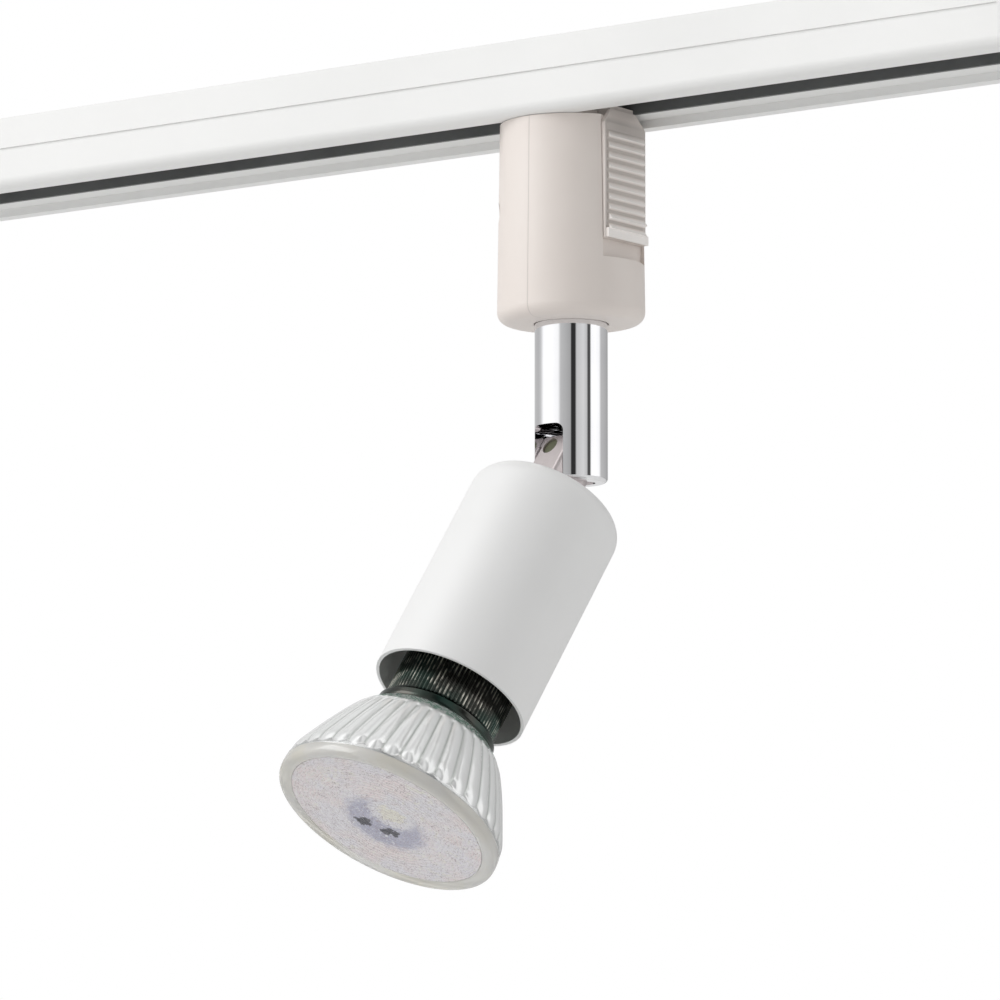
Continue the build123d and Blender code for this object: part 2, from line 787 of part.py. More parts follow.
# Two thin leads from the wire sleeve, through the stud, to the contacts in the lampholder
with BuildPart() as head_leads:
    for way in (-1, 1):
        lead_x = wire_entry_x + way * 0.6
        with BuildLine(head) as route:
            FilletPolyline(
                (lead_x, wire_bore_y, 1.0),
                (lead_x, wire_bore_y, shade_start - 3.4),
                (way * 0.8, 0.4, shade_start + 1.5),
                (way * 0.8, 0.4, shade_start + stud_length + 1.0),
                (0, way * pin_circle, holder_back - 1.0),
                (0, way * pin_circle, cavity_start - holder_contact_thickness),
                radius=1.6,
            )
        with BuildSketch(head.offset(1.0)):
            with Locations((lead_x, wire_bore_y)):
                Circle(head_lead_radius)
        sweep(path=route.line)
keep(head_leads, "head_leads")

# ---------------------------------------------------------------- shade, bracket and fasteners
with BuildPart() as shade:
    with BuildSketch(head_side):
        with Locations((shade_radius / 2, (shade_start + shade_end) / 2)):
            wall = Rectangle(shade_radius, shade_length)
        fillet(wall.vertices().group_by(Axis.Y)[0].sort_by(Axis.X)[-1], shade_corner)
    revolve(axis=head_axis)
    with BuildSketch(head_side):
        with Locations(((shade_radius - shade_wall) / 2, (bracket_top + shade_end) / 2)):
            hollow = Rectangle(shade_radius - shade_wall, shade_end - bracket_top)
        fillet(hollow.vertices().group_by(Axis.Y)[0].sort_by(Axis.X)[-1], shade_corner - shade_wall)
    revolve(axis=head_axis, mode=Mode.SUBTRACT)
    with BuildSketch(head.offset(shade_start)):
        Circle(stud_radius + running_gap)
    extrude(amount=shade_wall, mode=Mode.SUBTRACT)
keep(shade, "shade")

with BuildPart() as holder_bracket:
    with BuildSketch(head_side.offset(-bracket_width / 2)):
        for way in (-1, 1):
            with Locations((way * (bracket_inner + bracket_thickness / 2), (bracket_top + holder_back) / 2)):
                Rectangle(bracket_thickness, holder_back - bracket_top)
            with Locations((way * (bracket_inner + bracket_reach) / 2, holder_back - bracket_thickness / 2)):
                Rectangle(bracket_reach - bracket_inner, bracket_thickness)
        with Locations((0, bracket_top + bracket_thickness / 2)):
            Rectangle(2 * (bracket_inner + bracket_thickness), bracket_thickness)
    extrude(amount=bracket_width)
    with BuildSketch(head.offset(bracket_top)):
        Circle(stud_radius + running_gap)
    extrude(amount=bracket_thickness, mode=Mode.SUBTRACT)
    with BuildSketch(head.offset(holder_back - bracket_thickness)):
        with Locations((holder_screw_x, 0), (-holder_screw_x, 0)):
            Circle(holder_screw_radius)
    extrude(amount=bracket_thickness, mode=Mode.SUBTRACT)
keep(holder_bracket, "holder_bracket")

with BuildPart() as tongue_washer:
    with BuildSketch(head.offset(stack_washer)):
        Circle(tongue_washer_radius)
        Circle(stud_radius, mode=Mode.SUBTRACT)
    extrude(amount=tongue_washer_thickness)
keep(tongue_washer, "tongue_washer")

with BuildPart() as tongue_nut:
    with BuildSketch(head.offset(stack_nut)):
        RegularPolygon(tongue_nut_flats / 2, 6, major_radius=False)
        Circle(stud_radius, mode=Mode.SUBTRACT)
    extrude(amount=tongue_nut_height)
keep(tongue_nut, "tongue_nut")


# ---------------------------------------------------------------- lampholder
def pin_slots(height):
    """The two curved slots that the lamp's pins travel in, from locked to released."""
    for start in (90, 270):
        with BuildLine(mode=Mode.PRIVATE):
            arc = CenterArc((0, 0), pin_circle, start, twist_angle)
        SlotArc(arc, height)


with BuildPart() as lampholder:
    with BuildSketch(head.offset(holder_back)):
        Circle(holder_radius)
    extrude(amount=holder_length)
    fillet(lampholder.edges().filter_by(GeomType.CIRCLE), 0.8)
    with BuildSketch(head.offset(cavity_end)):
        pin_slots(2 * (pin_shank_radius + pin_play))
    extrude(amount=holder_plate, mode=Mode.SUBTRACT)
    with BuildSketch(head.offset(cavity_start)):
        pin_slots(2 * (pin_head_radius + pin_play))
    extrude(amount=holder_cavity, mode=Mode.SUBTRACT)
    with BuildSketch(head.offset(cavity_end)):
        with PolarLocations(pin_circle, 2, start_angle=90 + twist_angle):
            Circle(pin_head_radius + pin_play)
    extrude(amount=holder_plate, mode=Mode.SUBTRACT)
    with BuildSketch(head.offset(holder_back)):
        with Locations((holder_screw_x, 0), (-holder_screw_x, 0)):
            Circle(holder_screw_radius)
    extrude(amount=holder_length, mode=Mode.SUBTRACT)
    with BuildSketch(head.offset(holder_face)):
        with Locations((holder_screw_x, 0), (-holder_screw_x, 0)):
            Circle(holder_head_radius + 0.1)
    extrude(amount=-holder_head_height - 0.2, mode=Mode.SUBTRACT)
    with BuildSketch(head.offset(holder_back)):
        with Locations((0, pin_circle), (0, -pin_circle)):
            Circle(head_lead_radius + 0.3)
    extrude(amount=cavity_start - holder_back, mode=Mode.SUBTRACT)
    with BuildSketch(head.offset(cavity_start - holder_contact_thickness)):
        with Locations((0, pin_circle), (0, -pin_circle)):
            Rectangle(4.0, 3.0)
    extrude(amount=holder_contact_thickness, mode=Mode.SUBTRACT)
keep(lampholder, "lampholder")

with BuildPart() as holder_contacts:
    with BuildSketch(head.offset(cavity_start - holder_contact_thickness)):
        with Locations((0, pin_circle), (0, -pin_circle)):
            Rectangle(4.0 - 2 * running_gap, 3.0 - 2 * running_gap)
    extrude(amount=holder_contact_thickness)
keep(holder_contacts, "holder_contacts")

with BuildPart() as holder_screws:
    seat = holder_face - holder_head_height - 0.2
    with BuildSketch(head.offset(holder_back - bracket_thickness - 1.5)):
        with Locations((holder_screw_x, 0), (-holder_screw_x, 0)):
            Circle(holder_screw_radius)
    extrude(amount=seat - holder_back + bracket_thickness + 1.5)
    with BuildSketch(head.offset(seat)):
        with Locations((holder_screw_x, 0), (-holder_screw_x, 0)):
            Circle(holder_head_radius)
    extrude(amount=holder_head_height)
    with BuildSketch(head.offset(holder_face - 0.2)):
        with Locations((holder_screw_x, 0), (-holder_screw_x, 0)):
            Rectangle(0.7, 3.6)
    extrude(amount=-1.0, mode=Mode.SUBTRACT)
keep(holder_screws, "holder_screws")

# ---------------------------------------------------------------- lamp
lamp_base_end = lamp_neck_start + 2.0
neck_inner = lamp_neck_radius - lamp_neck_wall

with BuildPart() as lamp_base:
    with BuildSketch(head_side):
        with BuildLine():
            Polyline(
                (0, lamp_back),
                (lamp_base_radius - 1.2, lamp_back),
                (lamp_base_radius, lamp_back + 1.2),
                (lamp_base_radius, lamp_neck_start - 2.4),
                (lamp_skirt_radius, lamp_neck_start - 1.2),
                (lamp_skirt_radius, lamp_neck_start),
                (neck_inner - running_gap, lamp_neck_start),
                (neck_inner - running_gap, lamp_base_end),
                (lamp_base_radius - 1.6, lamp_base_end),
                (lamp_base_radius - 1.6, lamp_back + 1.6),
                (0, lamp_back + 1.6),
                close=True,
            )
        make_face()
    revolve(axis=head_axis)
    with BuildSketch(head.offset(lamp_back)):
        with Locations((0, pin_circle), (0, -pin_circle)):
            Circle(pin_shank_radius)
    extrude(amount=1.6, mode=Mode.SUBTRACT)
keep(lamp_base, "lamp_base")

with BuildPart() as lamp_pins:
    with BuildSketch(head.offset(pin_head_end)):
        with Locations((0, pin_circle), (0, -pin_circle)):
            Circle(pin_shank_radius)
    extrude(amount=lamp_back + 2.4 - pin_head_end)
    with BuildSketch(head.offset(pin_head_end - pin_head_height)):
        with Locations((0, pin_circle), (0, -pin_circle)):
            Circle(pin_head_radius)
    extrude(amount=pin_head_height)
keep(lamp_pins, "lamp_pins")

with BuildPart() as lamp_neck:
    with BuildSketch(head_side):
        with Locations(((neck_inner + lamp_neck_radius) / 2, (lamp_neck_start + bowl_start) / 2)):
            Rectangle(lamp_neck_wall, bowl_start - lamp_neck_start)
        with Locations(((neck_inner + neck_ring_radius) / 2, bowl_start - neck_ring_height / 2)):
            Rectangle(neck_ring_radius - neck_inner, neck_ring_height)
    revolve(axis=head_axis)
keep(lamp_neck, "lamp_neck")

bezel_start = lamp_front - bezel_height
outer_curve = [
    (neck_ring_radius, bowl_start),
    (15.0, bowl_start + 1.0),
    (17.5, bowl_start + 3.8),
    (20.6, bowl_start + 9.4),
    (23.2, bowl_start + 15.0),
    (24.6, bowl_start + 18.4),
]

with BuildPart() as lamp_glass:
    with BuildSketch(head_side):
        with BuildLine():
            outer = Spline(*outer_curve, (bowl_rim_radius, bezel_start))
            inner = Spline(
                (neck_inner, bowl_start),
                *[(r - bowl_wall, s + 0.5) for r, s in outer_curve[1:]],
                (bowl_rim_radius - bowl_wall, bezel_start),
            )
            Line(outer @ 0, inner @ 0)
            Line(outer @ 1, inner @ 1)
        make_face()
    revolve(axis=head_axis)
keep(lamp_glass, "lamp_glass")

with BuildPart() as lamp_bezel:
    with BuildSketch(head_side):
        with Locations((bowl_rim_radius - bezel_width / 2, lamp_front - bezel_height / 2)):
            ring = Rectangle(bezel_width, bezel_height)
        fillet(ring.vertices().group_by(Axis.Y)[-1], 0.9)
    revolve(axis=head_axis)
keep(lamp_bezel, "lamp_bezel")

with BuildPart() as lamp_lens:
    with BuildSketch(head.offset(lamp_front - 0.4 - lens_thickness)):
        Circle(bowl_rim_radius - bezel_width - running_gap)
    extrude(amount=lens_thickness)
keep(lamp_lens, "lamp_lens")

board_back = lamp_front - led_board_drop
with BuildPart() as led_board:
    with BuildSketch(head.offset(board_back)):
        Circle(led_board_radius)
    extrude(amount=led_board_thickness)
keep(led_board, "led_board")

with BuildPart() as led_chip:
    with BuildSketch(head.offset(board_back + led_board_thickness)):
        Circle(led_chip_radius)
    extrude(amount=led_chip_height)
keep(led_chip, "led_chip")

dome_base = board_back + led_board_thickness + led_chip_height
dome_curve = (dome_radius**2 + dome_height**2) / (2 * dome_height)
half_turn = asin(dome_radius / dome_curve) / 2
dome_centre = dome_base + dome_height - dome_curve
with BuildPart() as led_dome:
    with BuildSketch(head_side):
        with BuildLine():
            Line((0, dome_base), (dome_radius, dome_base))
            ThreePointArc(
                (dome_radius, dome_base),
                (dome_curve * sin(half_turn), dome_centre + dome_curve * cos(half_turn)),
                (0, dome_base + dome_height),
            )
            Line((0, dome_base + dome_height), (0, dome_base))
        make_face()
    revolve(axis=head_axis)
keep(led_dome, "led_dome")

# Column that carries the board and takes its heat down to the ribbed neck
with BuildPart() as heat_column:
    with BuildSketch(head_side):
        with BuildLine():
            Polyline(
                (0, bowl_start - 3.0),
                (neck_inner - 0.1, bowl_start - 3.0),
                (neck_inner - 0.1, bowl_start - 1.0),
                (led_board_radius - 2.0, bowl_start + 1.5),
                (led_board_radius - 1.0, board_back),
                (0, board_back),
                close=True,
            )
        make_face()
    revolve(axis=head_axis)
keep(heat_column, "heat_column")

driver_start = lamp_back + 2.6
with BuildPart() as driver_board:
    with BuildSketch(head_side.offset(-driver_thickness / 2)):
        with Locations((0, driver_start + (bowl_start - 4.0 - driver_start) / 2)):
            Rectangle(driver_width, bowl_start - 4.0 - driver_start)
    extrude(amount=driver_thickness)
keep(driver_board, "driver_board")

with BuildPart() as driver_parts:
    with BuildSketch(head_side.offset(driver_thickness / 2)):
        with Locations((3.2, driver_start + 5.0)):
            Rectangle(5.0, 6.0)
        with Locations((-3.6, driver_start + 4.2)):
            Rectangle(3.0, 3.0)
    extrude(amount=3.4)
    with BuildSketch(head_side.offset(-driver_thickness / 2)):
        with Locations((0, driver_start + 8.0)):
            Circle(3.0)
    extrude(amount=-5.0)
keep(driver_parts, "driver_parts")
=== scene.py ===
"""Looks of a track lighting fixture: a finish for every piece, and finer meshes for its lamp.

Sizes in this file are in millimetres unless a name says otherwise. Meshes are stored in metres, in the frame
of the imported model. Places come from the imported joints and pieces.
"""

import json
import logging
import math
from dataclasses import dataclass
from enum import Enum
from typing import Optional

import bpy
import numpy as np
from mathutils import Matrix


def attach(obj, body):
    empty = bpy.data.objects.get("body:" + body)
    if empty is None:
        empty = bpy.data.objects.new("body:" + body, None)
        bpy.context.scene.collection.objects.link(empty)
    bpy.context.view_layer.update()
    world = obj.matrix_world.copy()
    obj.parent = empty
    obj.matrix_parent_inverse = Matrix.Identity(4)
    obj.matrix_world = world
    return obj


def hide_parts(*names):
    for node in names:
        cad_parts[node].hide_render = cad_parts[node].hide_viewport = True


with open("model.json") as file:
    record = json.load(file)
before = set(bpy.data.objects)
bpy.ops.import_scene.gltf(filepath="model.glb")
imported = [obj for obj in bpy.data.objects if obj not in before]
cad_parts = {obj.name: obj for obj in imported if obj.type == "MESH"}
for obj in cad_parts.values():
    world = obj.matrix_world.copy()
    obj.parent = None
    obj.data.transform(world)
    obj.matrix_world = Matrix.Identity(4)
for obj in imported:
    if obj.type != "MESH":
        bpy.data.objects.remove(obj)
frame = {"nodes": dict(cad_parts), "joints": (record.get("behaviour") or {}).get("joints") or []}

log = logging.getLogger("fixture")

MM = 0.001
TURN = 2.0 * math.pi
UNIT = (0.0, 1.0)
WHITE = (1.0, 1.0, 1.0)
MAP_RANGE = ("From Min", "From Max", "To Min", "To Max")

Colour = tuple[float, float, float]
Socket = bpy.types.NodeSocket


# ------------------------------------------------------------------ axes and measuring
@dataclass(frozen=True)
class AxisFrame:
    """An axis of the object with two directions square to it, as unit vectors, and an origin in metres."""

    origin: np.ndarray
    side: np.ndarray
    out: np.ndarray
    down: np.ndarray

    def place(self, x: np.ndarray, y: np.ndarray, s: np.ndarray) -> np.ndarray:
        """Points in metres from distances in millimetres.

        The point is the origin plus x along side, y along out and s along down.

        Args:
            x: distances along side.
            y: distances along out.
            s: distances along the axis.

        Returns:
            An array of points, one row each.
        """
        spread = np.stack([np.ravel(x), np.ravel(y), np.ravel(s)], axis=1) * MM
        return self.origin + spread @ np.stack([self.side, self.out, self.down])

    def local(self, points: np.ndarray) -> np.ndarray:
        """The millimetres (x, y, s) of points given in metres."""
        return (points - self.origin) @ np.stack([self.side, self.out, self.down], axis=1) / MM

    def euler(self) -> tuple[float, float, float]:
        """The turn that carries the frame's axes onto this one, as XYZ angles in radians."""
        columns = np.stack([self.side, self.out, self.down], axis=1)
        return tuple(Matrix(columns.tolist()).to_euler("XYZ"))


@dataclass(frozen=True)
class Extent:
    """How far a round piece reaches along and away from an axis."""

    start: float
    end: float
    inner: float
    outer: float


def joint(name: str) -> dict:
    """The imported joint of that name."""
    return next(j for j in frame["joints"] if j["name"] == name)


def node_points(node: str) -> np.ndarray:
    """The corners of a CAD node's mesh, in metres, one row each."""
    mesh = frame["nodes"][node].data
    flat = np.empty(len(mesh.vertices) * 3, np.float32)
    mesh.vertices.foreach_get("co", flat)
    return flat.reshape(-1, 3).astype(float)


def extent(axes: AxisFrame, node: str) -> Extent:
    """How far a CAD node reaches along and away from an axis.

    Args:
        axes: the axis that the piece is turned about.
        node: the CAD node's name.

    Returns:
        Its reach along the axis, and its least and greatest distance from it.
    """
    local = axes.local(node_points(node))
    away = np.hypot(local[:, 0], local[:, 1])
    return Extent(local[:, 2].min(), local[:, 2].max(), away.min(), away.max())


def head_axes() -> AxisFrame:
    """The head's own axes: the pivot's line, the way out of the front, and down the head to the lamp."""
    side = -np.array(joint("head_tilt")["axis"], float)
    down = np.array(joint("lamp_twist")["axis"], float)
    side, down = side / np.linalg.norm(side), down / np.linalg.norm(down)
    return AxisFrame(np.array(joint("head_tilt")["pos_m"], float), side, np.cross(down, side), down)


def adapter_axes() -> AxisFrame:
    """The adapter's axes: s runs up its middle from the ceiling face, and x points along the track."""
    middle = np.array(joint("neck_swivel")["pos_m"], float) * np.array([1.0, 1.0, 0.0])
    return AxisFrame(middle, np.array([1.0, 0, 0]), np.array([0, 1.0, 0]), np.array([0, 0, 1.0]))


def show(name: str, data: bpy.types.ID) -> bpy.types.Object:
    """A new object with that data, linked to the scene, at the origin."""
    made = bpy.data.objects.new(name, data)
    bpy.context.scene.collection.objects.link(made)
    return made


# ------------------------------------------------------------------ surfaces worked out with numpy
def round_angles(columns: int) -> np.ndarray:
    """The angles of that many even steps round an axis, as one row."""
    return np.linspace(0, TURN, columns, endpoint=False)[None, :]


def smooth_curve(points: list[tuple[float, float]], count: int) -> np.ndarray:
    """An even run of places on a smooth curve through given points.

    Between two neighbours the curve is the cubic whose slope at each point is half the step from the point
    before to the point after (a Catmull-Rom curve). The end points repeat themselves.

    Args:
        points: the places that the curve passes through.
        count: how many places to return.

    Returns:
        An array with one place a row.
    """
    given = np.array([points[0], *points, points[-1]], float)
    t = np.linspace(0, len(points) - 1, count)
    i = np.minimum(t.astype(int), len(points) - 2)
    f = (t - i)[:, None]
    a, b, c, d = given[i], given[i + 1], given[i + 2], given[i + 3]
    return b + 0.5 * f * ((c - a) + f * ((2 * a - 5 * b + 4 * c - d) + f * (3 * (b - c) + d - a)))


def step(value: np.ndarray, low: float | np.ndarray, high: float | np.ndarray) -> np.ndarray:
    """A soft step from 0 at low to 1 at high: t squared times three less two t."""
    t = np.clip((value - low) / (high - low), 0, 1)
    return t * t * (3 - 2 * t)


@dataclass(frozen=True)
class Surface:
    """A closed surface: points in metres, faces, and named values that its finish reads at each point."""

    points: np.ndarray
    faces: list[list[int]]
    values: dict[str, np.ndarray]

    def outward(self) -> "Surface":
        """The same surface with its faces turned outwards.

        The signed volume is the sum over all triangles of each face of the first corner dotted with the cross
        product of the other two, over six. If it is negative, each face's corners are reversed.
        """
        fans = [(f[0], f[k], f[k + 1]) for f in self.faces for k in range(1, len(f) - 1)]
        a, b, c = (self.points[column] for column in np.array(fans).T)
        if np.einsum("ij,ij->i", a, np.cross(b, c)).sum() < 0:
            return Surface(self.points, [f[::-1] for f in self.faces], self.values)
        return self

    def piece(self, name: str) -> bpy.types.Object:
        """A smooth-shaded object of that name with this surface as its mesh, at the origin."""
        turned = self.outward()
        mesh = bpy.data.meshes.new(name)
        mesh.from_pydata(turned.points.tolist(), [], turned.faces)
        for key, value in turned.values.items():
            layer = mesh.attributes.new(key, "FLOAT", "POINT")
            layer.data.foreach_set("value", np.ravel(value).astype(np.float32))
        mesh.polygons.foreach_set("use_smooth", np.ones(len(mesh.polygons), bool))
        mesh.update()
        return show(name, mesh)


def grid_faces(rows: int, columns: int, loop: bool) -> np.ndarray:
    """Four-cornered faces of a grid whose columns meet round the axis.

    Args:
        rows: rows of points along the profile.
        columns: points round the axis.
        loop: whether the last row also joins the first.

    Returns:
        One face a row, as indices of its corners.
    """
    row = np.arange(rows if loop else rows - 1)[:, None]
    column = np.arange(columns)[None, :]
    after, beside = (row + 1) % rows, (column + 1) % columns
    here, there = row * columns, after * columns
    corners = [here + column, here + beside, there + beside, there + column]
    return np.stack([c.ravel() for c in corners], axis=1)


def turned_ring(axes: AxisFrame, radius: np.ndarray, height: np.ndarray, **values: np.ndarray) -> Surface:
    """A ring: a closed profile carried round an axis.

    The point at row i and column j stands at radius[i, j] from the axis, turned by j steps of a full turn
    shared among the columns, and at height[i, j] along it.

    Args:
        axes: the axis to turn about.
        radius: distances from the axis, rows by columns.
        height: distances along the axis, rows by columns.
        values: named values at each point, rows by columns.

    Returns:
        The closed surface.
    """
    rows, columns = radius.shape
    angle = round_angles(columns)
    points = axes.place(radius * np.cos(angle), radius * np.sin(angle), height + 0 * angle)
    return Surface(points, grid_faces(rows, columns, True).tolist(), values)


def capped_faces(rows: int, columns: int) -> list[list[int]]:
    """Faces of a grid round an axis, closed at each end by a fan to a point of its own.

    Args:
        rows: rows of points.
        columns: points round the axis.

    Returns:
        The faces, where the last two points after the grid's are those at its first and last row.
    """
    column = np.arange(columns)
    beside, last = (column + 1) % columns, (rows - 1) * columns
    first_fan = np.stack([np.full(columns, rows * columns), beside, column], axis=1)
    last_fan = np.stack([np.full(columns, rows * columns + 1), last + column, last + beside], axis=1)
    return grid_faces(rows, columns, False).tolist() + first_fan.tolist() + last_fan.tolist()


def turned_solid(axes: AxisFrame, radius: np.ndarray, height: np.ndarray, **values: np.ndarray) -> Surface:
    """A solid: a profile from the axis back to the axis carried round it, closed by a fan at each end.

    Points stand as in turned_ring. One more point on the axis closes each end, level with the mean of its
    row.

    Args:
        axes: the axis to turn about.
        radius: distances from the axis, rows by columns.
        height: distances along the axis, rows by columns.
        values: named values at each point, rows by columns.

    Returns:
        The closed surface.
    """
    rows, columns = radius.shape
    angle = round_angles(columns)
    rim = axes.place(radius * np.cos(angle), radius * np.sin(angle), height + 0 * angle)
    poles = axes.place(np.zeros(2), np.zeros(2), np.array([height[0].mean(), height[-1].mean()]))
    ends = {key: np.append(np.ravel(v), [np.mean(v[0]), np.mean(v[-1])]) for key, v in values.items()}
    return Surface(np.vstack([rim, poles]), capped_faces(rows, columns), ends)


# ------------------------------------------------------------------ finishes
class Relief(Enum):
    """The kinds of fine relief that a finish can carry."""

    GRAIN = "even fine grain, as on moulded plastic"
    PEEL = "soft dimples, as on powder coat"
    BRUSHED = "long fine lines along the third axis"
    TURNED = "fine rings along the third axis, as a lathe or a screw thread leaves"


class NodeGraph:
    """The nodes of one material, added and joined in short calls."""

    def __init__(self, name: str) -> None:
        """Starts a material with one shader joined to its output."""
        self.material = bpy.data.materials.new(name)
        self.material.use_nodes = True
        self.tree = self.material.node_tree
        self.tree.nodes.clear()
        self.shader = self.add("ShaderNodeBsdfPrincipled")
        self.join(self.shader.outputs["BSDF"], self.add("ShaderNodeOutputMaterial").inputs["Surface"])

    def add(self, kind: str, **settings: object) -> bpy.types.Node:
        """A new node of that kind with its settings made."""
        node = self.tree.nodes.new(kind)
        for key, value in settings.items():
            setattr(node, key, value)
        return node

    def join(self, source: Socket, target: Socket) -> None:
        """Links one socket to another."""
        self.tree.links.new(source, target)

    def place(self, axes: Optional[AxisFrame] = None, stretch: Colour = (1.0, 1.0, 1.0)) -> Socket:
        """Object coordinates, measured from an axis when one is given.

        Args:
            axes: the axis whose side, out and down directions become x, y and z.
            stretch: how much finer the pattern is along each of them.

        Returns:
            The coordinates' socket.
        """
        own = self.add("ShaderNodeTexCoord").outputs["Object"]
        if axes is not None:
            turn = self.add("ShaderNodeMapping", vector_type="TEXTURE")
            turn.inputs["Location"].default_value = axes.origin.tolist()
            turn.inputs["Rotation"].default_value = axes.euler()
            self.join(own, turn.inputs["Vector"])
            own = turn.outputs["Vector"]
        scale = self.add("ShaderNodeMapping", vector_type="POINT")
        scale.inputs["Scale"].default_value = stretch
        self.join(own, scale.inputs["Vector"])
        return scale.outputs["Vector"]

    def noise(self, vector: Socket, size: float, detail: float = 2.0, distortion: float = 0.0) -> Socket:
        """Noise whose blotches are about size millimetres across."""
        node = self.add("ShaderNodeTexNoise")
        node.inputs["Scale"].default_value = 1.0 / (size * MM)
        node.inputs["Detail"].default_value = detail
        node.inputs["Distortion"].default_value = distortion
        self.join(vector, node.inputs["Vector"])
        return node.outputs["Fac"]

    def bands(self, vector: Socket, size: float, rings: bool, distortion: float = 0.0) -> Socket:
        """Even bands along z, or rings about it, one every size millimetres."""
        node = self.add("ShaderNodeTexWave", wave_type="RINGS" if rings else "BANDS")
        if rings:
            node.rings_direction = "Z"
        else:
            node.bands_direction = "Z"
        node.inputs["Scale"].default_value = math.pi / (10.0 * size * MM)
        node.inputs["Distortion"].default_value = distortion
        self.join(vector, node.inputs["Vector"])
        return node.outputs["Fac"]

    def attribute(self, name: str) -> Socket:
        """A value stored at the mesh's points."""
        return self.add("ShaderNodeAttribute", attribute_name=name).outputs["Fac"]

    def fed(self, key: str) -> Socket:
        """The varying value that one of the shader's sockets has now."""
        return self.shader.inputs[key].links[0].from_socket

    def along_track(self, level: float) -> Socket:
        """How far a point is past a place on the track's direction, in metres, for a place in millimetres."""
        split = self.add("ShaderNodeSeparateXYZ")
        self.join(self.place(), split.inputs["Vector"])
        return self.maths("SUBTRACT", split.outputs["X"], level * MM)

    def remap(self, value: Socket, before: tuple[float, float], after: tuple[float, float] = UNIT) -> Socket:
        """The value taken from one range to another, and held at its ends."""
        node = self.add("ShaderNodeMapRange")
        for key, number in zip(MAP_RANGE, (*before, *after)):
            node.inputs[key].default_value = number
        self.join(value, node.inputs["Value"])
        return node.outputs["Result"]

    def spot(self, vector: Socket, centre: Colour, radius: float, ragged: Socket) -> Socket:
        """One within radius millimetres of a place and nought beyond it; ragged makes the outline uneven."""
        node = self.add("ShaderNodeVectorMath", operation="DISTANCE")
        self.join(vector, node.inputs[0])
        node.inputs[1].default_value = tuple(c * MM for c in centre)
        uneven = self.remap(ragged, (0.3, 0.7), (-0.9 * MM, 0.9 * MM))
        away = self.maths("ADD", node.outputs["Value"], uneven)
        return self.remap(away, (0.85 * radius * MM, 1.15 * radius * MM), (1.0, 0.0))

    def maths(self, operation: str, first: Socket, second: Socket | float = 0.0) -> Socket:
        """One sum on two values."""
        node = self.add("ShaderNodeMath", operation=operation)
        self.join(first, node.inputs[0])
        if isinstance(second, (int, float)):
            node.inputs[1].default_value = second
        else:
            self.join(second, node.inputs[1])
        return node.outputs["Value"]

    def mix(self, factor: Socket, first: Socket | Colour, second: Socket | Colour) -> Socket:
        """A colour between two others."""
        node = self.add("ShaderNodeMix", data_type="RGBA")
        self.join(factor, node.inputs["Factor"])
        for socket, value in ((node.inputs[6], first), (node.inputs[7], second)):
            if isinstance(value, tuple):
                socket.default_value = (*value, 1.0)
            else:
                self.join(value, socket)
        return node.outputs[2]

    def bump(self, height: Socket, depth: float, below: Optional[Socket] = None) -> Socket:
        """A normal tipped by a height field.

        Args:
            height: the height, from 0 to 1.
            depth: how many millimetres the height is from 0 to 1.
            below: a coarser bump that this one stands on.

        Returns:
            The normal's socket.
        """
        node = self.add("ShaderNodeBump")
        node.inputs["Strength"].default_value = 1.0
        node.inputs["Distance"].default_value = depth * MM
        self.join(height, node.inputs["Height"])
        if below is not None:
            self.join(below, node.inputs["Normal"])
        return node.outputs["Normal"]

    def settle(self, **constants: float | Colour) -> None:
        """Sets values that are the same all over on the shader's own sockets, by name with _ for a space."""
        for key, value in constants.items():
            socket = self.shader.inputs[key.replace("_", " ")]
            socket.default_value = (*value, 1.0) if isinstance(value, tuple) else value

    def feed(self, key: str, source: Socket) -> None:
        """Joins a varying value to one of the shader's sockets."""
        self.join(source, self.shader.inputs[key])


@dataclass(frozen=True)
class Finish:
    """A finish with blotchy colour, uneven gloss and fine relief.

    Attributes:
        slot: the record's material slot.
        colour: the main colour, linear.
        shift: the colour that it drifts to in blotches.
        rough: the least and greatest roughness.
        blotch: the blotches' size.
        relief: the kind of fine relief.
        relief_size: the size of its grain or the distance between its lines.
        relief_depth: its depth.
        metallic: 1 for metal.
        coat: the strength of a clear coat.
        ior: the index of refraction.
        axes: the axis that brushed and turned relief follow, or None for the frame's own.
    """

    slot: str
    colour: Colour
    shift: Colour
    rough: tuple[float, float]
    blotch: float = 14.0
    relief: Relief = Relief.GRAIN
    relief_size: float = 0.35
    relief_depth: float = 0.004
    metallic: float = 0.0
    coat: float = 0.0
    ior: float = 1.5
    axes: Optional[AxisFrame] = None

    def relief_height(self, graph: NodeGraph) -> Socket:
        """The height field of this finish's fine relief."""
        if self.relief is Relief.BRUSHED:
            return graph.noise(graph.place(self.axes, (1.0, 1.0, 0.03)), self.relief_size, 3.0)
        if self.relief is Relief.TURNED:
            return graph.bands(graph.place(self.axes), self.relief_size, rings=False)
        detail = 4.0 if self.relief is Relief.GRAIN else 1.0
        return graph.noise(graph.place(self.axes), self.relief_size, detail)

    def graph(self) -> NodeGraph:
        """The finish's nodes: blotches in colour and gloss, and its relief as a bump."""
        graph = NodeGraph(self.slot)
        blotches = graph.noise(graph.place(self.axes), self.blotch, 4.0)
        graph.feed("Base Color", graph.mix(graph.remap(blotches, (0.35, 0.7)), self.colour, self.shift))
        graph.feed("Roughness", graph.remap(blotches, (0.3, 0.7), self.rough))
        graph.feed("Normal", graph.bump(self.relief_height(graph), self.relief_depth))
        graph.settle(Metallic=self.metallic, IOR=self.ior, Coat_Weight=self.coat, Coat_Roughness=0.06)
        return graph

    def material(self) -> bpy.types.Material:
        """The finished material."""
        return self.graph().material


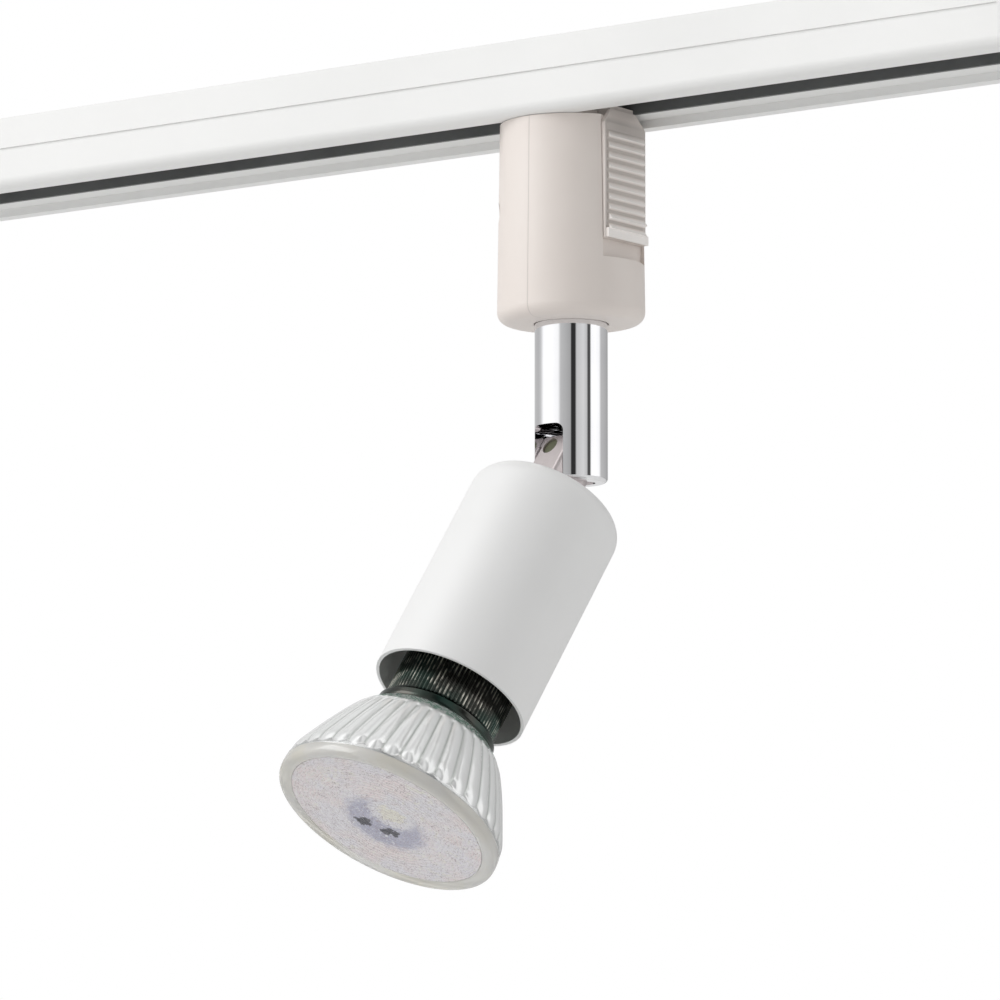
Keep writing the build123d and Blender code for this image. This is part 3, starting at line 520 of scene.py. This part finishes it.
@dataclass(frozen=True)
class SeamedPlastic(Finish):
    """Moulded plastic with the fine dark line where two shells meet, at one place along the track."""

    seam: float = 0.0
    seam_width: float = 0.12
    seam_depth: float = 0.05
    seam_tone: float = 0.78

    def material(self) -> bpy.types.Material:
        """The moulded finish, darker and sunk within half a seam's width of the seam."""
        graph = self.graph()
        width = self.seam_width * MM
        away = graph.maths("ABSOLUTE", graph.along_track(self.seam))
        line = graph.remap(away, (0.2 * width, width), (1.0, 0.0))
        dark = tuple(self.seam_tone * c for c in self.colour)
        graph.feed("Base Color", graph.mix(line, graph.fed("Base Color"), dark))
        sunk = graph.remap(line, UNIT, (1.0, 0.0))
        graph.feed("Normal", graph.bump(sunk, self.seam_depth, graph.fed("Normal")))
        return graph.material


@dataclass(frozen=True)
class RibbedMetal(Finish):
    """Dark plated metal with painted highlights in patches along the crests of its ribs."""

    # Colour of the painted highlights on the rib crests, and the size of their patches.
    crest: Colour = (0.85, 0.82, 0.72)
    patch: float = 3.0

    def material(self) -> bpy.types.Material:
        """The dark finish, with painted highlights where the stored crest value is high and the patches are
        bright.
        """
        graph = self.graph()
        lines = graph.remap(graph.attribute("crest"), (0.80, 1.0))
        highlight_patches = graph.remap(graph.noise(graph.place(self.axes), self.patch), (0.47, 0.64), (0.04, 0.9))
        # painted highlight: pale lines on the crests, only where the patches are bright
        painted_highlight = graph.maths("MULTIPLY", lines, highlight_patches)
        graph.feed("Base Color", graph.mix(painted_highlight, graph.fed("Base Color"), self.crest))
        return graph.material


@dataclass(frozen=True)
class RibbedPlastic(Finish):
    """Moulded plastic, paler along the edges of its ribs as painted highlight and darker at their feet as
    painted shade.
    """

    face: float = 0.0
    rise: float = 0.7
    # Painted highlights along the rib edges, then the painted shade at their feet, in the settings below.
    crest: Colour = (0.97, 0.93, 0.90)
    painted_highlight_reach: tuple[float, float] = (0.35, 0.95)
    painted_shade_reach: tuple[float, float] = (0.05, 0.3)
    painted_shade_tone: float = 0.62
    painted_shade_strength: float = 0.75

    def material(self) -> bpy.types.Material:
        """The moulded finish, led by how far a point stands out from the flat face along the track: painted
        shade near the face and painted highlight towards the crests.
        """
        graph = self.graph()
        out = graph.along_track(self.face)
        near, far = self.painted_shade_reach
        # painted shade at the rib feet, then painted highlights along the rib edges
        painted_shade = graph.remap(graph.maths("ABSOLUTE", out), (near * MM, far * MM), (self.painted_shade_strength, 0.0))
        with_painted_shade = graph.mix(painted_shade, graph.fed("Base Color"), tuple(self.painted_shade_tone * c for c in self.colour))
        crest = graph.remap(out, tuple(share * self.rise * MM for share in self.painted_highlight_reach))
        graph.feed("Base Color", graph.mix(crest, with_painted_shade, self.crest))
        return graph.material


@dataclass(frozen=True)
class FlutedGlass(Finish):
    """Clear fluted glass with a bright lining: pale flutes, a greyer line of painted shade in each groove, a
    green collar with painted glints.
    """

    # The first colour is painted shade along each groove; the third is painted glints on the collar's facets.
    groove: Colour = (0.55, 0.58, 0.55)
    collar: Colour = (0.36, 0.56, 0.46)
    painted_glint: Colour = (0.93, 0.98, 0.95)
    facet: float = 0.9
    clearness: tuple[float, float] = (0.10, 0.75)

    def material(self) -> bpy.types.Material:
        """The glass finish, with colours led by the values stored at the mesh's points."""
        graph = self.graph()
        # painted shade: a greyer line down each groove
        depth = graph.remap(graph.attribute("groove"), (0.62, 0.97), (0.0, 0.9))
        lines = graph.mix(depth, graph.fed("Base Color"), self.groove)
        # painted glints: pale flecks on the green collar's facets
        facets = graph.noise(graph.place(self.axes), self.facet, 1.0, 0.6)
        collar_with_glints = graph.mix(graph.remap(facets, (0.42, 0.56)), self.collar, self.painted_glint)
        graph.feed("Base Color", graph.mix(graph.attribute("collar"), lines, collar_with_glints))
        graph.feed("Transmission Weight", graph.remap(graph.attribute("edge"), UNIT, self.clearness))
        return graph.material


@dataclass(frozen=True)
class PrismaticLens(Finish):
    """A clear front with very fine wavy prisms, seen as broken rings with faint pink, lilac and straw tints.

    Areas are the board, the dome and the dome's glow, each by its place, radius and colour. Marks are the
    places of the two small dark parts, two spots each.
    """

    tints: tuple[Colour, Colour, Colour] = ((0.98, 0.86, 0.87), (0.93, 0.90, 0.97), (0.98, 0.95, 0.85))
    # The shadow colour is painted shade in dark flecks; pale is the colour of the painted highlight rings.
    shadow: Colour = (0.40, 0.33, 0.35)
    pale: Colour = (0.98, 0.97, 0.97)
    areas: tuple[tuple[float, float, float, Colour], ...] = (
        (-1.6, -1.2, 9.0, (0.56, 0.56, 0.70)),
        (3.0, 1.5, 5.4, (0.93, 0.92, 0.96)),
        (3.0, 1.5, 3.0, (0.97, 0.94, 0.84)))
    mark: Colour = (0.10, 0.10, 0.12)
    marks: tuple[tuple[float, float], ...] = ((-7.6, 0.6), (-6.2, 0.4), (-3.4, -3.7), (-2.2, -4.2))
    mark_radius: float = 1.35
    ring_pitch: float = 0.8
    front: float = 0.0

    def material(self) -> bpy.types.Material:
        """The lens finish.

        Rings broken by noise lead the bump and soft blotches lead the tints. The board, the dome and two
        small dark parts are coloured areas in the middle with uneven outlines. The rings also paint pale
        highlights, and the flecks paint shade in dark spots and glints in white ones.
        """
        graph = self.graph()
        place = graph.place(self.axes)
        rings = graph.bands(place, self.ring_pitch, rings=True, distortion=9.0)
        flecks = graph.noise(place, 0.8, 4.0, 2.5)
        ragged = graph.noise(place, 1.4, 2.0)
        pink, lilac, straw = self.tints
        tint = graph.mix(graph.remap(graph.noise(place, 7.0, 2.0), (0.40, 0.60)), lilac, pink)
        tint = graph.mix(graph.remap(graph.noise(place, 3.1, 3.0, 2.0), (0.55, 0.72)), tint, straw)
        # painted highlights: pale broken rings along the prisms
        seen = graph.mix(graph.remap(rings, (0.1, 0.9), (0.0, 0.6)), tint, self.pale)
        for x, y, radius, colour in self.areas:
            seen = graph.mix(graph.spot(place, (x, y, self.front), radius, ragged), seen, colour)
        # painted shade in the darker flecks, then painted glints in the white ones
        seen = graph.mix(graph.remap(flecks, (0.34, 0.46), (0.85, 0.0)), seen, self.shadow)
        seen = graph.mix(graph.remap(flecks, (0.58, 0.66)), seen, WHITE)
        for x, y in self.marks:
            seen = graph.mix(graph.spot(place, (x, y, self.front), self.mark_radius, ragged), seen, self.mark)
        graph.feed("Base Color", seen)
        graph.feed("Normal", graph.bump(flecks, 0.07, graph.bump(rings, 0.05)))
        graph.settle(Transmission_Weight=0.22)
        return graph.material


@dataclass(frozen=True)
class ClearGlass(Finish):
    """A clear tinted moulding or glass, smooth, with a slight waviness."""

    transmission: float = 0.85

    def material(self) -> bpy.types.Material:
        """The blotched finish with most of its light passing through."""
        graph = self.graph()
        graph.settle(Transmission_Weight=self.transmission)
        return graph.material


@dataclass(frozen=True)
class CircuitBoard(Finish):
    """A circuit board: solder mask with faint copper tracks raised beneath it."""

    track_pitch: float = 1.6
    track_rise: float = 0.035
    track_colour: Colour = (0.8, 0.8, 0.78)

    def material(self) -> bpy.types.Material:
        """The masked board, slightly lighter and raised where a track runs below."""
        graph = self.graph()
        tracks = graph.add("ShaderNodeTexVoronoi", distance="MANHATTAN", feature="F1")
        tracks.inputs["Scale"].default_value = 1.0 / (self.track_pitch * MM)
        graph.join(graph.place(self.axes), tracks.inputs["Vector"])
        lines = graph.remap(tracks.outputs["Distance"], (0.30, 0.36), (1.0, 0.0))
        faint = graph.remap(lines, UNIT, (0.0, 0.35))
        graph.feed("Base Color", graph.mix(faint, graph.fed("Base Color"), self.track_colour))
        graph.feed("Normal", graph.bump(lines, self.track_rise))
        return graph.material


def dress(node: str, material: bpy.types.Material) -> None:
    """Gives a CAD node one material all over, and logs it."""
    shown = frame["nodes"][node]
    shown.data.materials.clear()
    shown.data.materials.append(material)
    log.info("dressed %s in %s", node, material.name)


def add_piece(surface: Surface, name: str, body: str, finish: Finish, *stands_for: str) -> bpy.types.Object:
    """Makes a piece, gives it a finish and sets it on its body.

    Args:
        surface: its closed surface.
        name: its name.
        body: the body that it moves with.
        finish: its finish.
        stands_for: the CAD nodes that it replaces.

    Returns:
        The new object.
    """
    made = surface.piece(name)
    made.data.materials.append(finish.material())
    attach(made, body)
    if stands_for:
        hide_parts(*stands_for)
    log.info("made %s on %s: %d faces", name, body, len(made.data.polygons))
    return made


# ------------------------------------------------------------------ sub-assemblies
@dataclass
class Track:
    """The length of ceiling track with its liners, conductors and end caps."""

    paint: Finish = Finish("rail_white", (0.86, 0.86, 0.85), (0.83, 0.83, 0.82), (0.30, 0.42), blotch=60.0,
                           relief=Relief.PEEL, relief_size=0.9, relief_depth=0.006)
    liner: Finish = Finish("liner_grey", (0.13, 0.135, 0.135), (0.16, 0.165, 0.165), (0.42, 0.6))
    copper: Finish = Finish("copper", (0.78, 0.36, 0.20), (0.60, 0.26, 0.14), (0.18, 0.34), blotch=5.0,
                            relief=Relief.BRUSHED, metallic=1.0)
    cap: Finish = Finish("cap_white", (0.84, 0.84, 0.83), (0.81, 0.81, 0.80), (0.45, 0.58),
                         relief_depth=0.008)

    def dress(self) -> None:
        """Dresses every piece of the track."""
        paint, liner, copper, cap = (f.material() for f in (self.paint, self.liner, self.copper, self.cap))
        dress("rail_channel", paint)
        for way in ("front", "back"):
            dress(f"rail_liner_{way}", liner)
            dress(f"conductor_{way}", copper)
        for way in ("left", "right"):
            dress(f"end_cap_{way}", cap)


@dataclass
class Adapter:
    """The plug-in adapter: two moulded shells, the plug head with its contacts, and the release slider."""

    axes: AxisFrame
    slider_face: float = 14.6
    cream: Colour = (0.82, 0.755, 0.71)
    cream_shift: Colour = (0.79, 0.72, 0.675)

    def dress(self) -> None:
        """Dresses the adapter's pieces."""
        seam = float(self.axes.origin[0] / MM)
        shell = SeamedPlastic("adapter_cream", self.cream, self.cream_shift, (0.36, 0.46), blotch=22.0,
                              relief_depth=0.003, seam=seam).material()
        for node in ("adapter_shell_left", "adapter_shell_right"):
            dress(node, shell)
        slider = RibbedPlastic("slider_cream", self.cream, self.cream_shift, (0.36, 0.46), relief_depth=0.004,
                               face=seam + self.slider_face)
        dress("release_slider", slider.material())
        insulator = Finish("insulator_cream", (0.76, 0.70, 0.60), (0.72, 0.66, 0.56), (0.5, 0.62))
        dress("plug_head", insulator.material())
        brass = Finish("brass_contact", (0.75, 0.55, 0.22), (0.66, 0.46, 0.18), (0.18, 0.32), blotch=4.0,
                       relief=Relief.BRUSHED, metallic=1.0)
        brass_material = brass.material()
        for node in ("contact_live", "contact_neutral"):
            dress(node, brass_material)
        dress("adapter_screws", STEEL.material())
        dress("lock_spring", SPRING.material())
        dress("adapter_leads", LEAD.material())


@dataclass
class Neck:
    """The chrome neck with its fork, pivot screw, washers and nut."""

    chrome: Finish = Finish("neck_chrome", (0.90, 0.90, 0.91), (0.86, 0.86, 0.88), (0.02, 0.05), blotch=9.0,
                            relief=Relief.PEEL, relief_size=6.0, relief_depth=0.004, metallic=1.0)

    def dress(self) -> None:
        """Dresses the neck's pieces."""
        dress("neck_tube", self.chrome.material())
        steel = STEEL.material()
        for node in ("pivot_screw", "swivel_washer", "stop_washer", "neck_nut"):
            dress(node, steel)
        dress("neck_leads", LEAD.material())


@dataclass
class Head:
    """The swivelling head: tongue, wire sleeve, shade, bracket and lampholder."""

    axes: AxisFrame

    def dress(self) -> None:
        """Dresses the head's pieces."""
        zinc = Finish("tongue_zinc", (0.66, 0.60, 0.60), (0.58, 0.53, 0.53), (0.30, 0.44), blotch=5.0,
                      relief=Relief.BRUSHED, relief_size=0.3, metallic=0.85, axes=self.axes)
        olive = Finish("sleeve_olive", (0.105, 0.11, 0.06), (0.08, 0.085, 0.05), (0.55, 0.7),
                       relief_depth=0.01)
        white = Finish("shade_white", (0.87, 0.87, 0.865), (0.845, 0.845, 0.84), (0.34, 0.44), blotch=30.0,
                       relief=Relief.PEEL, relief_size=0.8, relief_depth=0.006, axes=self.axes)
        ceramic = Finish("ceramic_white", (0.78, 0.76, 0.70), (0.72, 0.70, 0.64), (0.6, 0.75), blotch=6.0,
                         relief_size=0.5, relief_depth=0.02)
        brass = Finish("holder_brass", (0.75, 0.55, 0.22), (0.66, 0.46, 0.18), (0.2, 0.35), metallic=1.0)
        dress("tongue", zinc.material())
        dress("wire_sleeve", olive.material())
        dress("shade", white.material())
        dress("lampholder", ceramic.material())
        dress("holder_contacts", brass.material())
        dress("head_leads", LEAD.material())
        steel = STEEL.material()
        for node in ("holder_bracket", "tongue_washer", "tongue_nut", "holder_screws"):
            dress(node, steel)


@dataclass
class Lamp:
    """The lamp: dark ribbed neck, fluted glass bowl, rim, prismatic front and the parts seen through it."""

    axes: AxisFrame
    ribs: int = 84
    rib_depth: float = 0.45
    neck_radius: float = 12.6
    ring_height: float = 2.6
    flutes: int = 38
    flute_depth: float = 0.55
    flute_start: float = 2.4
    flute_end: float = 1.1
    wall: float = 1.8
    collar_height: float = 3.2
    collar_depth: float = 0.28
    columns_per_flute: int = 12

    def bowl_profile(self, start: float, end: float, outer: float, count: int) -> np.ndarray:
        """The bowl's outer curve, from the dark neck to the rim.

        Args:
            start: where it leaves the neck, along the axis.
            end: where it meets the rim.
            outer: its greatest radius.
            count: how many places to return.

        Returns:
            Radius and distance along the axis, one place a row.
        """
        points = [(13.6, start), (15.0, start + 1.0), (17.5, start + 3.8), (20.6, start + 9.4),
                  (23.2, start + 15.0), (24.6, start + 18.4), (outer, end)]
        return smooth_curve(points, count)

    def build_bowl(self) -> None:
        """The fluted glass.

        The outer radius is the bowl's curve less the flute depth times one less the size of the cosine of
        half the flute count times the angle. That leaves rounded reeds with sharp grooves. The depth fades in
        below the collar and out at a scalloped line above the rim. The collar is cut by uneven shallow
        facets. The inner wall is the same curve moved in by the wall's thickness.
        """
        size = extent(self.axes, "lamp_glass")
        outer_rows, inner_rows = 76, 26
        columns = self.flutes * self.columns_per_flute
        angle = round_angles(columns)
        curve = self.bowl_profile(size.start, size.end, size.outer, outer_rows)
        radius, along = curve[:, :1], curve[:, 1:]
        reed = np.abs(np.cos(self.flutes * angle / 2))
        first = size.start + self.flute_start
        last = size.end - self.flute_end + 0.9 * reed
        strength = step(along, first, first + 1.6) * (1 - step(along, last - 0.5, last))
        facets = np.abs(np.sin(29 * angle + 1.7 * np.sin(5 * angle))) * np.abs(np.cos(17 * angle))
        collar = step(along, size.start, size.start + 0.5) * (
            1 - step(along, size.start + self.collar_height - 0.7, size.start + self.collar_height))
        outside = radius - self.flute_depth * strength * (1 - reed) - self.collar_depth * collar * facets
        back = self.bowl_profile(size.start, size.end, size.outer, inner_rows)[::-1]
        inside = np.repeat(back[:, :1] - self.wall, columns, axis=1)
        heights = np.vstack([along + 0 * angle, back[:, 1:] + 0 * angle])
        groove = np.vstack([strength * (1 - reed), np.zeros((inner_rows, columns))])
        ring = np.vstack([collar + 0 * angle, np.zeros((inner_rows, columns))])
        rim = step(along, last - 0.4, last + 0.1)
        edge = np.vstack([rim, step(back[:, 1:] + 0 * angle, size.end - 1.2, size.end)])
        glass = FlutedGlass("bowl_glass", (0.985, 0.99, 0.985), (0.96, 0.975, 0.97), (0.10, 0.24), blotch=4.0,
                            relief=Relief.PEEL, relief_size=1.6, relief_depth=0.03, metallic=0.4, coat=0.8,
                            axes=self.axes)
        surface = turned_ring(self.axes, np.vstack([outside, inside]), heights, groove=groove,
                              collar=ring, edge=edge)
        add_piece(surface, "fluted_bowl", "lamp", glass, "lamp_glass")

    def build_neck(self) -> None:
        """The dark ribbed neck.

        The outer radius is the neck's, less the rib depth times one less the size of the sine of half the rib
        count times the angle. Below the ribs it flares by a soft step to a smooth ring with a rounded lip.
        """
        size = extent(self.axes, "lamp_neck")
        columns = self.ribs * 6
        angle = round_angles(columns)
        along = np.linspace(size.start, size.end, 64)[:, None]
        top = size.end - self.ring_height
        ribbed = step(along, size.start + 0.3, size.start + 1.0) * (1 - step(along, top - 0.5, top - 0.1))
        rib = np.abs(np.sin(self.ribs * angle / 2)) ** 0.7
        flare = (size.outer - self.neck_radius) * step(along, top, top + 0.7)
        lip = 0.25 * (1 - step(along, size.end - 0.5, size.end))
        outside = self.neck_radius + flare - 0.25 + lip - self.rib_depth * ribbed * (1 - rib)
        back = np.array([[size.inner, size.end], [size.inner, size.start]])
        radius = np.vstack([outside + 0 * angle, np.repeat(back[:, :1], columns, axis=1)])
        heights = np.vstack([along + 0 * angle, np.repeat(back[:, 1:], columns, axis=1)])
        crest = np.vstack([ribbed * rib, np.zeros((2, columns))])
        dark = RibbedMetal("lamp_dark", (0.060, 0.058, 0.052), (0.020, 0.050, 0.040), (0.12, 0.28),
                           blotch=7.0, relief=Relief.BRUSHED, relief_size=0.25, relief_depth=0.02,
                           metallic=1.0, coat=0.15, axes=self.axes)
        surface = turned_ring(self.axes, radius, heights, crest=crest)
        add_piece(surface, "ribbed_neck", "lamp", dark, "lamp_neck")

    def build_bezel(self) -> None:
        """The clear rim: a section with a rounded outer edge, carried round the axis."""
        size = extent(self.axes, "lamp_bezel")
        w, h = size.outer - size.inner, size.end - size.start
        points = [(size.inner, size.start), (size.outer - 0.3, size.start), (size.outer, size.start + 0.3),
                  (size.outer, size.start + 0.55 * h), (size.outer - 0.25, size.start + 0.85 * h),
                  (size.outer - 0.9, size.end), (size.outer - 0.6 * w, size.end),
                  (size.inner + 0.2, size.end - 0.35), (size.inner, size.end - 0.6)]
        curve = smooth_curve(points, 40)
        ones = np.ones((1, 240))
        clear = ClearGlass("bezel_clear", (0.985, 0.98, 0.965), (0.97, 0.94, 0.85), (0.02, 0.06), blotch=9.0,
                           relief=Relief.PEEL, relief_size=2.0, relief_depth=0.015, coat=0.4, axes=self.axes,
                           transmission=0.5)
        surface = turned_ring(self.axes, curve[:, :1] * ones, curve[:, 1:] * ones)
        add_piece(surface, "clear_rim", "lamp", clear, "lamp_bezel")

    def build_lens(self) -> None:
        """The prismatic front.

        The front's height falls and rises by a small wave of the radius whose phase wanders with the angle,
        so its rings look hand-cut. The back is flat.
        """
        size = extent(self.axes, "lamp_lens")
        columns = 288
        angle = round_angles(columns)
        away = np.linspace(0.25, size.outer, 84)[:, None]
        wander = 0.8 * np.sin(9 * angle + 0.4 * away) + 0.6 * np.sin(23 * angle - 0.7 * away)
        fade = step(away, 0.2, 2.0) * (1 - step(away, size.outer - 1.2, size.outer - 0.2))
        front = size.end - 0.05 - 0.05 * fade * (1 + np.sin(TURN * away / 1.1 + wander))
        back = np.array([[size.outer], [0.5 * size.outer], [0.25]])
        radius = np.vstack([away + 0 * angle, back + 0 * angle])
        heights = np.vstack([front, np.full((3, columns), size.start)])
        lens = PrismaticLens("lens_clear", (0.9, 0.86, 0.87), (0.86, 0.84, 0.88), (0.10, 0.22), blotch=5.0,
                             axes=self.axes, front=size.end)
        add_piece(turned_solid(self.axes, radius, heights), "prismatic_front", "lamp", lens, "lamp_lens")

    def build_dome(self) -> None:
        """The clear dome over the light source: a round cap whose height is that of a sphere's cap."""
        size = extent(self.axes, "led_dome")
        tall, wide = size.end - size.start, size.outer
        ball = (wide**2 + tall**2) / (2 * tall)
        lean = np.linspace(0.02, math.asin(min(1.0, wide / ball)), 28)
        radius = np.append(np.append(ball * np.sin(lean), 0.5 * wide), 0.1)[:, None] * np.ones((1, 72))
        cap = size.end - ball * (1 - np.cos(lean))
        heights = np.append(cap, [size.start, size.start])[:, None] * np.ones((1, 72))
        clear = ClearGlass("dome_clear", (0.92, 0.90, 0.95), (0.88, 0.86, 0.93), (0.03, 0.07), blotch=3.0,
                           relief=Relief.PEEL, relief_size=1.2, relief_depth=0.01, axes=self.axes)
        add_piece(turned_solid(self.axes, radius, heights), "clear_dome", "lamp", clear, "led_dome")

    def dress(self) -> None:
        """Dresses the lamp's carried-over pieces."""
        finishes = {
            "lamp_base": Finish("lamp_plastic", (0.70, 0.70, 0.67), (0.66, 0.66, 0.63), (0.5, 0.62)),
            "lamp_pins": Finish("pin_nickel", (0.66, 0.63, 0.58), (0.58, 0.55, 0.5), (0.2, 0.34),
                                metallic=1.0),
            "led_board": CircuitBoard("led_board", (0.62, 0.62, 0.74), (0.56, 0.57, 0.70), (0.3, 0.4),
                                      axes=self.axes),
            "led_chip": Finish("led_yellow", (0.72, 0.62, 0.28), (0.66, 0.55, 0.22), (0.4, 0.5), blotch=2.0,
                               relief_size=0.2),
            "heat_column": Finish("column_metal", (0.72, 0.72, 0.73), (0.64, 0.64, 0.65), (0.25, 0.38),
                                  relief=Relief.TURNED, relief_size=0.4, metallic=1.0, axes=self.axes),
            "driver_board": CircuitBoard("board_green", (0.02, 0.11, 0.05), (0.015, 0.09, 0.04), (0.3, 0.4),
                                         axes=self.axes),
            "driver_parts": Finish("part_black", (0.02, 0.02, 0.022), (0.03, 0.03, 0.032), (0.3, 0.45)),
        }
        for node, finish in finishes.items():
            dress(node, finish.material())

    def build(self) -> None:
        """Builds and dresses the lamp."""
        self.build_neck()
        self.build_bowl()
        self.build_bezel()
        self.build_lens()
        self.build_dome()
        self.dress()


STEEL = Finish("steel", (0.58, 0.58, 0.59), (0.50, 0.50, 0.52), (0.26, 0.42), blotch=5.0,
               relief=Relief.BRUSHED, relief_size=0.25, metallic=1.0)
SPRING = Finish("spring_steel", (0.50, 0.50, 0.52), (0.42, 0.42, 0.45), (0.2, 0.32), blotch=2.0, metallic=1.0)
LEAD = Finish("lead_clear", (0.66, 0.64, 0.54), (0.60, 0.58, 0.48), (0.35, 0.5), blotch=3.0, coat=0.3)


# ------------------------------------------------------------------ studio
@dataclass
class Studio:
    """Floor, soft light and camera.

    Angles are in degrees and places in metres. Directions round the object are measured from the camera's own
    side, positive to its right. Panels are pairs of such a direction and the brightness of the surroundings
    there.
    """

    camera_place: tuple[float, float, float] = (0.7742, -1.0160, -0.2625)
    yaw: float = 36.378
    pitch: float = 7.436
    roll: float = 0.063
    lens: float = 208.63
    sensor: float = 36.0
    floor_level: float = -1.2
    floor_half: float = 6.0
    below: float = 1.42
    above: float = 1.68
    key_side: float = -72.0
    key_energy: float = 12.0
    key_size: float = 1.2
    key_away: float = 1.5
    key_height: float = 0.9
    floor_tone: Colour = (0.93, 0.93, 0.925)
    panels: tuple[tuple[float, float], ...] = (
        (-180, 0.50), (-150, 0.34), (-125, 0.33), (-112, 0.40), (-98, 0.72), (-69, 0.74), (-42, 0.66),
        (-34, 0.35), (-18, 0.30), (-3, 0.25), (0, 0.02), (12, 0.02), (16, 0.38), (38, 0.46), (50, 0.36),
        (53, 0.05), (61, 0.05), (65, 0.70), (82, 0.74), (98, 0.68), (107, 0.34), (142, 0.28), (150, 0.24),
        (165, 0.32), (180, 0.50))

    def add_camera(self) -> None:
        """The camera, turned by its yaw, pitch and roll."""
        data = bpy.data.cameras.new("camera")
        data.lens, data.sensor_width, data.clip_start = self.lens, self.sensor, 0.01
        camera = show("camera", data)
        y, p, r = (math.radians(a) for a in (self.yaw, self.pitch, self.roll))
        forward = np.array([-math.sin(y) * math.cos(p), math.cos(y) * math.cos(p), math.sin(p)])
        level = np.array([math.cos(y), math.sin(y), 0.0])
        upright = np.cross(level, forward)
        right = math.cos(r) * level + math.sin(r) * upright
        above = -math.sin(r) * level + math.cos(r) * upright
        turn = Matrix(np.stack([right, above, -forward], axis=1).tolist()).to_4x4()
        camera.matrix_world = Matrix.Translation(self.camera_place) @ turn
        bpy.context.scene.camera = camera

    def add_floor(self) -> None:
        """A wide pale floor, well below the object."""
        corners = np.array([[-1, -1, 0], [1, -1, 0], [1, 1, 0], [-1, 1, 0]], float) * self.floor_half
        corners[:, 2] = self.floor_level
        mesh = bpy.data.meshes.new("floor")
        mesh.from_pydata(corners.tolist(), [], [[0, 1, 2, 3]])
        floor = show("floor", mesh)
        pale = Finish("floor_pale", self.floor_tone, (0.92, 0.92, 0.915), (0.7, 0.8), blotch=400.0)
        mesh.materials.append(pale.material())

    def add_world(self) -> None:
        """Soft light all round: bright panels with dark gaps between them, which a mirror shows as bands.

        The brightness depends on the direction's angle round the upright axis. Seen directly or through glass
        the surroundings are plain white.
        """
        world = bpy.data.worlds.new("studio")
        bpy.context.scene.world = world
        world.use_nodes = True
        tree = world.node_tree
        tree.nodes.clear()
        make, join = tree.nodes.new, tree.links.new
        turn = make("ShaderNodeMapping")
        turn.inputs["Rotation"].default_value = (0.0, 0.0, math.radians(90.0 - self.yaw))
        join(make("ShaderNodeTexCoord").outputs["Generated"], turn.inputs["Vector"])
        parts = make("ShaderNodeSeparateXYZ")
        join(turn.outputs["Vector"], parts.inputs["Vector"])
        angle = make("ShaderNodeMath")
        angle.operation = "ARCTAN2"
        join(parts.outputs["Y"], angle.inputs[0])
        join(parts.outputs["X"], angle.inputs[1])
        share = make("ShaderNodeMapRange")
        share.inputs["From Min"].default_value, share.inputs["From Max"].default_value = -math.pi, math.pi
        join(angle.outputs["Value"], share.inputs["Value"])
        ramp = make("ShaderNodeValToRGB")
        join(share.outputs["Result"], ramp.inputs["Fac"])
        self.fill_ramp(ramp.color_ramp)
        light = make("ShaderNodeBackground")
        join(ramp.outputs["Color"], light.inputs["Color"])
        lift = make("ShaderNodeMapRange")
        for key, number in zip(MAP_RANGE, (-0.5, 0.6, self.below, self.above)):
            lift.inputs[key].default_value = number
        join(parts.outputs["Z"], lift.inputs["Value"])
        join(lift.outputs["Result"], light.inputs["Strength"])
        plain = make("ShaderNodeBackground")
        plain.inputs["Color"].default_value = (1.0, 1.0, 1.0, 1.0)
        paths = make("ShaderNodeLightPath")
        seen = make("ShaderNodeMath")
        seen.operation = "MAXIMUM"
        join(paths.outputs["Is Camera Ray"], seen.inputs[0])
        join(paths.outputs["Is Transmission Ray"], seen.inputs[1])
        blend = make("ShaderNodeMixShader")
        join(seen.outputs["Value"], blend.inputs["Fac"])
        join(light.outputs["Background"], blend.inputs[1])
        join(plain.outputs["Background"], blend.inputs[2])
        join(blend.outputs["Shader"], make("ShaderNodeOutputWorld").inputs["Surface"])

    def fill_ramp(self, ramp: bpy.types.ColorRamp) -> None:
        """Sets the ramp's colours to the panels' brightness, one full turn round from behind the object."""
        while len(ramp.elements) < len(self.panels):
            ramp.elements.new(0.5)
        for element, (degrees, value) in zip(ramp.elements, self.panels):
            element.position = (degrees + 180.0) / 360.0
            element.color = (value, value, value, 1.0)

    def add_key_light(self) -> None:
        """One large soft panel up on the camera's left."""
        data = bpy.data.lights.new("key", "AREA")
        data.shape, data.size, data.energy = "SQUARE", self.key_size, self.key_energy
        key = show("key", data)
        y = math.radians(self.yaw + 180.0 + self.key_side)
        away = np.array([-math.sin(y) * self.key_away, math.cos(y) * self.key_away, self.key_height])
        back = away / np.linalg.norm(away)
        side = np.cross([0.0, 0.0, 1.0], back)
        side /= np.linalg.norm(side)
        turn = Matrix(np.stack([side, np.cross(back, side), back], axis=1).tolist()).to_4x4()
        key.matrix_world = Matrix.Translation(away.tolist()) @ turn

    def build(self) -> None:
        """Sets up the whole studio."""
        bpy.context.scene.view_settings.view_transform = "Standard"
        self.add_camera()
        self.add_floor()
        self.add_world()
        self.add_key_light()


def main() -> None:
    """Builds every sub-assembly and the studio."""
    logging.basicConfig(level=logging.INFO, format="%(name)s: %(message)s")
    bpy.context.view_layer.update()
    head = head_axes()
    Studio().build()
    Track().dress()
    Adapter(adapter_axes()).dress()
    Neck().dress()
    Head(head).dress()
    Lamp(head).build()


if __name__ == "__main__":
    main()
